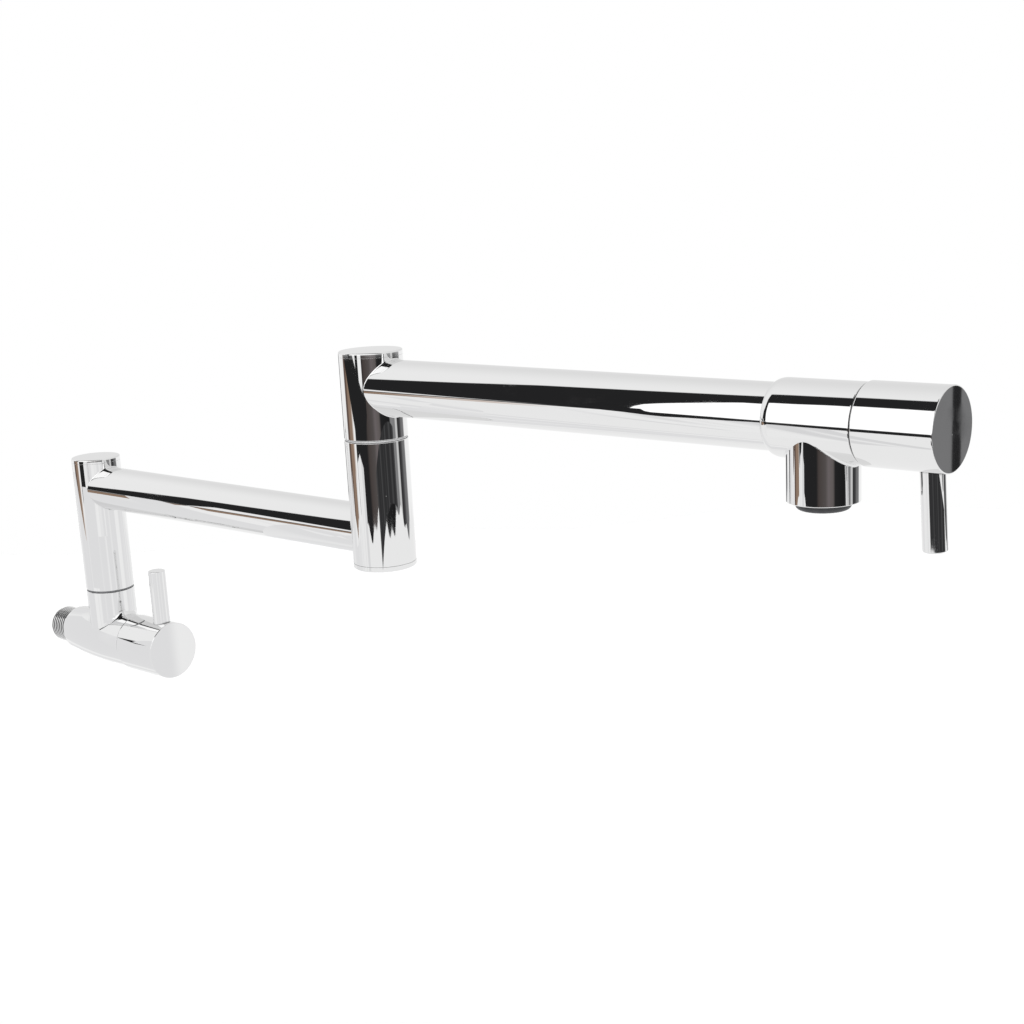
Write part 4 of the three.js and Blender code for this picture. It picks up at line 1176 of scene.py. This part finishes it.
@dataclass(frozen=True)
class Surroundings:
    """What the polished metal sees in each direction, all in degrees.

    A direction (x, y, z) has two pairs of angles. Round the upright: its compass angle from the
    photographer's side, and its height asin z. Round the arms: the roll atan2(z, -x), and the slant asin y.
    Near the horizon the room is banded by the compass angle. Above it a dark drape spans a roll that shrinks
    with the slant, and a white softbox that ends in a point lies in front of it.
    """

    tree: Tree
    glow: float = 0.35  # how much brighter the softbox is than the white room
    room: Sequence[tuple[float, str]] = (
        (-168, WHITE), (-166, "5c5c5e"), (-154, "4a4a4c"), (-152, WHITE), (-116, WHITE), (-113, "5d4d46"),
        (-104, "6a584f"), (-101, WOOD), (-88, WOOD), (-86, PALE_WOOD), (-84, PALE_WOOD), (-82, WHITE),
        (-76, WHITE), (-74, DARK), (-32, DARK), (-25, "4b4442"), (-5, "585352"), (4, "70696a"),
        (18, "66605f"), (24, DARK), (56, "1e1e1f"), (61, "8d8d8e"), (77, "858586"), (80, "d4d4d4"),
        (86, "d4d4d4"), (89, "2a2a2b"), (101, "4a4a4b"), (108, "79797a"), (118, "818182"), (121, "8b8b8c"),
        (125, WHITE))
    stripe: tuple[float, float] = (112.48, 112.78)
    stripe_soft: float = 0.02
    bands: Sequence[LeaningBand] = (
        LeaningBand(DARK, -9.1, -74.0, 12.7, -71.5), LeaningBand(WHITE, -7.8, -34.0, 22.0, -32.0, 0.3))
    horizon: tuple[float, float] = (-6.6, -5.9)
    sky: tuple[str, str] = ("fcfcfc", "ebebeb")
    sky_fall: tuple[float, float] = (75.0, 145.0)
    drape_top: Curve = (
        (20, 88), (32, 77), (36, 69), (40, 62), (43, 50), (47, 37), (50, 31), (52, 28), (54, 18), (55, 11),
        (58, -5))
    drape_foot: Curve = ((33, -7), (35, -10), (43, -7), (49, 0), (51, 2), (52, -10))
    top_soft: float = 1.5
    foot_soft: float = 0.8
    tip_soft: float = 0.5  # beyond the softbox's top
    softbox_top: Curve = (
        (27, 55), (30, 53), (31.6, 50), (32.8, 49), (33.9, 41), (34.9, 33), (35.6, 27), (36.2, 20),
        (36.6, 10), (36.9, -10))
    softbox_foot: tuple[float, float] = (-7.0, -6.0)

    def node(self, kind: str, *inputs: object, out: int | str = 0, **settings: object) -> Socket:
        """Add a node to the world, with its inputs in order."""
        return add_node(self.tree, kind, inputs, out, **settings)

    def ramp(self, angle: Socket, start: float, span: float, stops: Sequence[tuple]) -> Socket:
        """Give a colour by an angle, on straight lines between stops.

        Args:
            angle: the angle.
            start: degrees where the ramp starts.
            span: degrees that it covers.
            stops: (degrees, linear colour) in order.

        Returns:
            The colour.
        """
        share = self.node("MapRange", angle, math.radians(start), math.radians(start + span))
        color = self.node("ValToRGB", share)
        elements = color.node.color_ramp.elements
        while len(elements) < len(stops):
            elements.new(0.5)
        for element, (degrees, value) in zip(elements, stops):
            element.position = (degrees - start) / span
            element.color = value
        return color

    def past(self, roll: Socket, slant: Socket, limit: Curve) -> Socket:
        """Tell how far the roll is past a limit that depends on the slant; a colour ramp keeps it as a grey.

        Args:
            roll: the angle round the arms.
            slant: the angle along them.
            limit: (slant, roll) points.

        Returns:
            The difference.
        """
        span, middle = 200, 0.5
        grey = self.ramp(slant, 0, 90, [(s, (r / span + middle,) * 3 + (1.0,)) for s, r in limit])
        centred = self.node("Math", grey, middle, operation="SUBTRACT")
        angle = self.node("Math", centred, math.radians(span), operation="MULTIPLY")
        return self.node("Math", roll, angle, operation="SUBTRACT")

    def region(self, *edges: tuple[Socket, float, float]) -> Socket:
        """Multiply soft edges, to 1 inside a region and 0 outside it.

        Args:
            *edges: the angle of each edge, with the degrees where it is 0 and where it is 1.

        Returns:
            The share.
        """
        whole = None
        for angle, out, full in edges:
            share = self.node("MapRange", angle, math.radians(out), math.radians(full), **SMOOTH)
            whole = self.node("Math", whole, share, operation="MULTIPLY") if whole else share
        return whole

    def layered(self, below: Socket | str, *layers: tuple[Socket, Socket | str]) -> Socket:
        """Lay colours over the one below.

        Args:
            below: the lowest colour.
            *layers: share and colour of each layer, from below.

        Returns:
            The colour on top.
        """
        for share, color in layers:
            below = add_node(self.tree, "Mix", {0: share, 6: below, 7: color}, **MIX_COLORS)
        return below

    def banded_room(self, compass: Socket, height: Socket) -> Socket:
        """Colour the room near the horizon: upright bands, a thin dark stripe, and the leaning bands.

        Args:
            compass: angle from the photographer's side.
            height: angle above the horizon.

        Returns:
            The colour.
        """
        room = self.ramp(compass, -180, 360, [(degrees, linear(color)) for degrees, color in self.room])
        (first, last), soft = self.stripe, self.stripe_soft
        edges = [(compass, first - soft, first + soft), (compass, last + soft, last - soft)]
        layers = [(self.region(*edges), DARK)]
        for band in self.bands:
            over = self.node("Math", height, math.radians(-band.foot), operation="ADD")
            over = self.node("Math", over, 0.0, operation="MAXIMUM")
            leaned = self.node("Math", over, band.lean, math.radians(-band.start), operation="MULTIPLY_ADD")
            side = self.node("Math", compass, leaned, operation="ADD")
            edges = [(side, -band.soft, band.soft), (compass, band.end + band.soft, band.end - band.soft)]
            if band.fade:
                edges.append((over, 0.0, band.fade))
            layers.append((self.region(*edges), band.color))
        return self.layered(room, *layers)

    def build(self) -> tuple[Socket, Socket]:
        """Return the colour and the strength of what is seen."""
        way = add_node(self.tree, "TexCoord", out="Generated")
        x, y, z = self.node("SeparateXYZ", way).node.outputs
        c, s = math.cos(math.radians(FACING)), math.sin(math.radians(FACING))
        toward = self.node("VectorMath", way, (c, s, 0), out="Value", operation="DOT_PRODUCT")
        side = self.node("VectorMath", way, (-s, c, 0), out="Value", operation="DOT_PRODUCT")
        compass = self.node("Math", side, toward, operation="ARCTAN2")
        height = self.node("Math", z, operation="ARCSINE")
        slant = self.node("Math", y, operation="ARCSINE")
        roll = self.node("Math", z, self.node("Math", x, -1.0, operation="MULTIPLY"), operation="ARCTAN2")
        past = partial(self.past, roll, slant)
        top, foot = self.top_soft, self.foot_soft
        drape = self.region((past(self.drape_top), top, -top), (past(self.drape_foot), -foot, foot))
        softbox = self.region((past(self.softbox_top), self.tip_soft, -top), (roll, *self.softbox_foot))
        fall = self.region((roll, *self.sky_fall))
        sky = self.layered(self.sky[0], (fall, self.sky[1]), (drape, DARK), (softbox, WHITE))
        above = self.region((height, *self.horizon))
        bright = self.node("Math", softbox, above, operation="MULTIPLY")
        strength = self.node("Math", bright, self.glow, 1.0, operation="MULTIPLY_ADD")
        return self.layered(self.banded_room(compass, height), (above, sky)), strength


@dataclass(frozen=True)
class Studio:
    """A white table in a white studio, with dark drapes and softboxes that only the metal sees."""

    floor_radius: float = 2500.0
    floor_centre: float = 280.0  # distance in front of the shoulder
    floor_steps: int = 96
    ambient: float = 0.62
    lift: float = 0.18  # light of its own that the camera sees in the table
    sun: float = 1.15
    sun_width: float = 50.0  # degrees, as is the tilt
    sun_tilt: tuple[float, float] = (24.0, -18.0)
    crease_mm: float = 62.5  # of the cards
    crease_range: tuple[float, float] = (0.48, 0.62)
    crease_stretch: float = 0.05  # what the upright counts beside the level
    strip_at: float = -258.0  # the dark strip's x, and its outline as y and z
    strip: Curve = (
        (-222, 175), (-263, 175), (-266, 145), (-271, 131), (-300, 128), (-362, 128), (-362, 112),
        (-345, 107), (-317, 94), (-289, 88), (-269, 77), (-258, 86), (-245, 104), (-222, 120))

    def by_ray(self, tree: Tree, camera: Socket, metal: Socket, rest: Socket) -> Socket:
        """Show the camera, the polished metal and everything else a shader of their own.

        Args:
            tree: the nodes of the world or of a material.
            camera: what the camera sees.
            metal: what is mirrored or seen through.
            rest: what lights dull surfaces.

        Returns:
            The shader.
        """
        rays = add_node(tree, "LightPath").node.outputs
        by_metal = (rays["Is Glossy Ray"], rays["Is Transmission Ray"])
        seen = add_node(tree, "Math", by_metal, operation="MAXIMUM")
        shown = add_node(tree, "MixShader", (rays["Is Camera Ray"], rest, camera))
        return add_node(tree, "MixShader", (seen, shown, metal))

    def world(self) -> None:
        """Make the world: white for the camera, the studio for metal, even grey light for the rest."""
        world = bpy.data.worlds.new("studio")
        bpy.context.scene.world = world
        tree = new_tree(world)
        lights = ((WHITE, 1.0), Surroundings(tree).build(), (WHITE, self.ambient))
        shaders = [add_node(tree, "Background", light) for light in lights]
        add_node(tree, "OutputWorld", (self.by_ray(tree, *shaders),))

    def floor(self) -> None:
        """Make the white table, which keeps the shadow, and is open from below.

        Its edge waves round a circle: r = R (1 + 0.05 sin(5 a + 1) + 0.025 sin(17 a)).
        """
        material = bpy.data.materials.new("white_sweep")
        tree = new_tree(material)
        node = partial(add_node, tree)
        lit = node("BsdfDiffuse", {"Color": "f4f4f4"})
        shown = node("AddShader", (lit, node("Emission", {"Strength": self.lift})))
        mirrored = node("Emission", {"Color": "fafafa"})
        below = node("NewGeometry", out="Backfacing")
        sides = (below, self.by_ray(tree, shown, mirrored, lit), node("BsdfTransparent"))
        node("OutputMaterial", (node("MixShader", sides),))
        angle = full_turn(self.floor_steps)
        wavy = self.floor_radius * (1 + 0.05 * np.sin(5 * angle + 1) + 0.025 * np.sin(17 * angle))
        points = round_points(wavy, TABLE, angle) - np.array([0, self.floor_centre, 0])
        add_object("table", points, [list(range(self.floor_steps))], material)

    def stand(self, name: str, points: Array, faces: list, colors: tuple[str, str]) -> None:
        """Add a card that shines by itself, has upright creases and is seen by the metal only.

        Args:
            name: the card's name.
            points: n by 3.
            faces: the point numbers of each face.
            colors: its colour, and that of its creases.
        """
        material = bpy.data.materials.new(name)
        tree = new_tree(material)
        node = partial(add_node, tree)
        stretch = {"Vector": node("TexCoord", out="Object"), "Scale": (1, 1, self.crease_stretch)}
        folds = {"Vector": node("Mapping", stretch), "Scale": 1 / MM / self.crease_mm}
        share = node("MapRange", (node("TexNoise", folds, "Fac"), *self.crease_range), **SMOOTH)
        shade = node("Mix", {0: share, 6: colors[0], 7: colors[1]}, **MIX_COLORS)
        node("OutputMaterial", (node("Emission", {"Color": shade}),))
        card = add_object(name, points, faces, material)
        card.visible_camera = card.visible_diffuse = card.visible_shadow = False

    def cards(self) -> None:
        """Stand the curved cards, and a narrow dark strip that bounds the softbox's tip and underside."""
        for card in CARDS:
            points, faces = card.surface()
            self.stand(card.name, points, faces.tolist(), card.colors)
        points = np.array([(self.strip_at, y, z) for y, z in self.strip])
        self.stand("dark_strip", points, [list(range(len(points)))], (DARK, DARK))

    def lamp(self) -> None:
        """Make one broad soft lamp overhead, which the metal doesn't mirror."""
        data = bpy.data.lights.new("soft_lamp", "SUN")
        data.energy, data.angle = self.sun, math.radians(self.sun_width)
        lamp = bpy.data.objects.new("soft_lamp", data)
        lamp.rotation_euler = (*(math.radians(tilt) for tilt in self.sun_tilt), 0)
        lamp.visible_glossy = False
        bpy.context.scene.collection.objects.link(lamp)

    def build(self) -> None:
        """Make the world, the table, the cards and the lamp."""
        for make in (self.world, self.floor, self.cards, self.lamp):
            make()
        bpy.context.scene.view_settings.view_transform = "Standard"


def main() -> None:
    """Load the frame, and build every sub-assembly and the studio."""
    logging.basicConfig(level=logging.INFO, format="%(name)s: %(message)s")
    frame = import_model()
    shop, inlet, spout = Workshop(frame["nodes"]), InletBody(), Spout()
    inlet.build(shop)
    Handle("inlet", (0, -inlet.length, 0), lean=0.0).build(shop)
    InnerArm().build(shop)
    OuterArm().build(shop)
    spout.build(shop)
    Handle("outlet", (0, -ELBOW_AXIS - spout.front, OUTER_HEIGHT), lean=175.0).build(shop)
    Camera().build()
    Studio().build()
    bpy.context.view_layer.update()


if __name__ == "__main__":
    main()
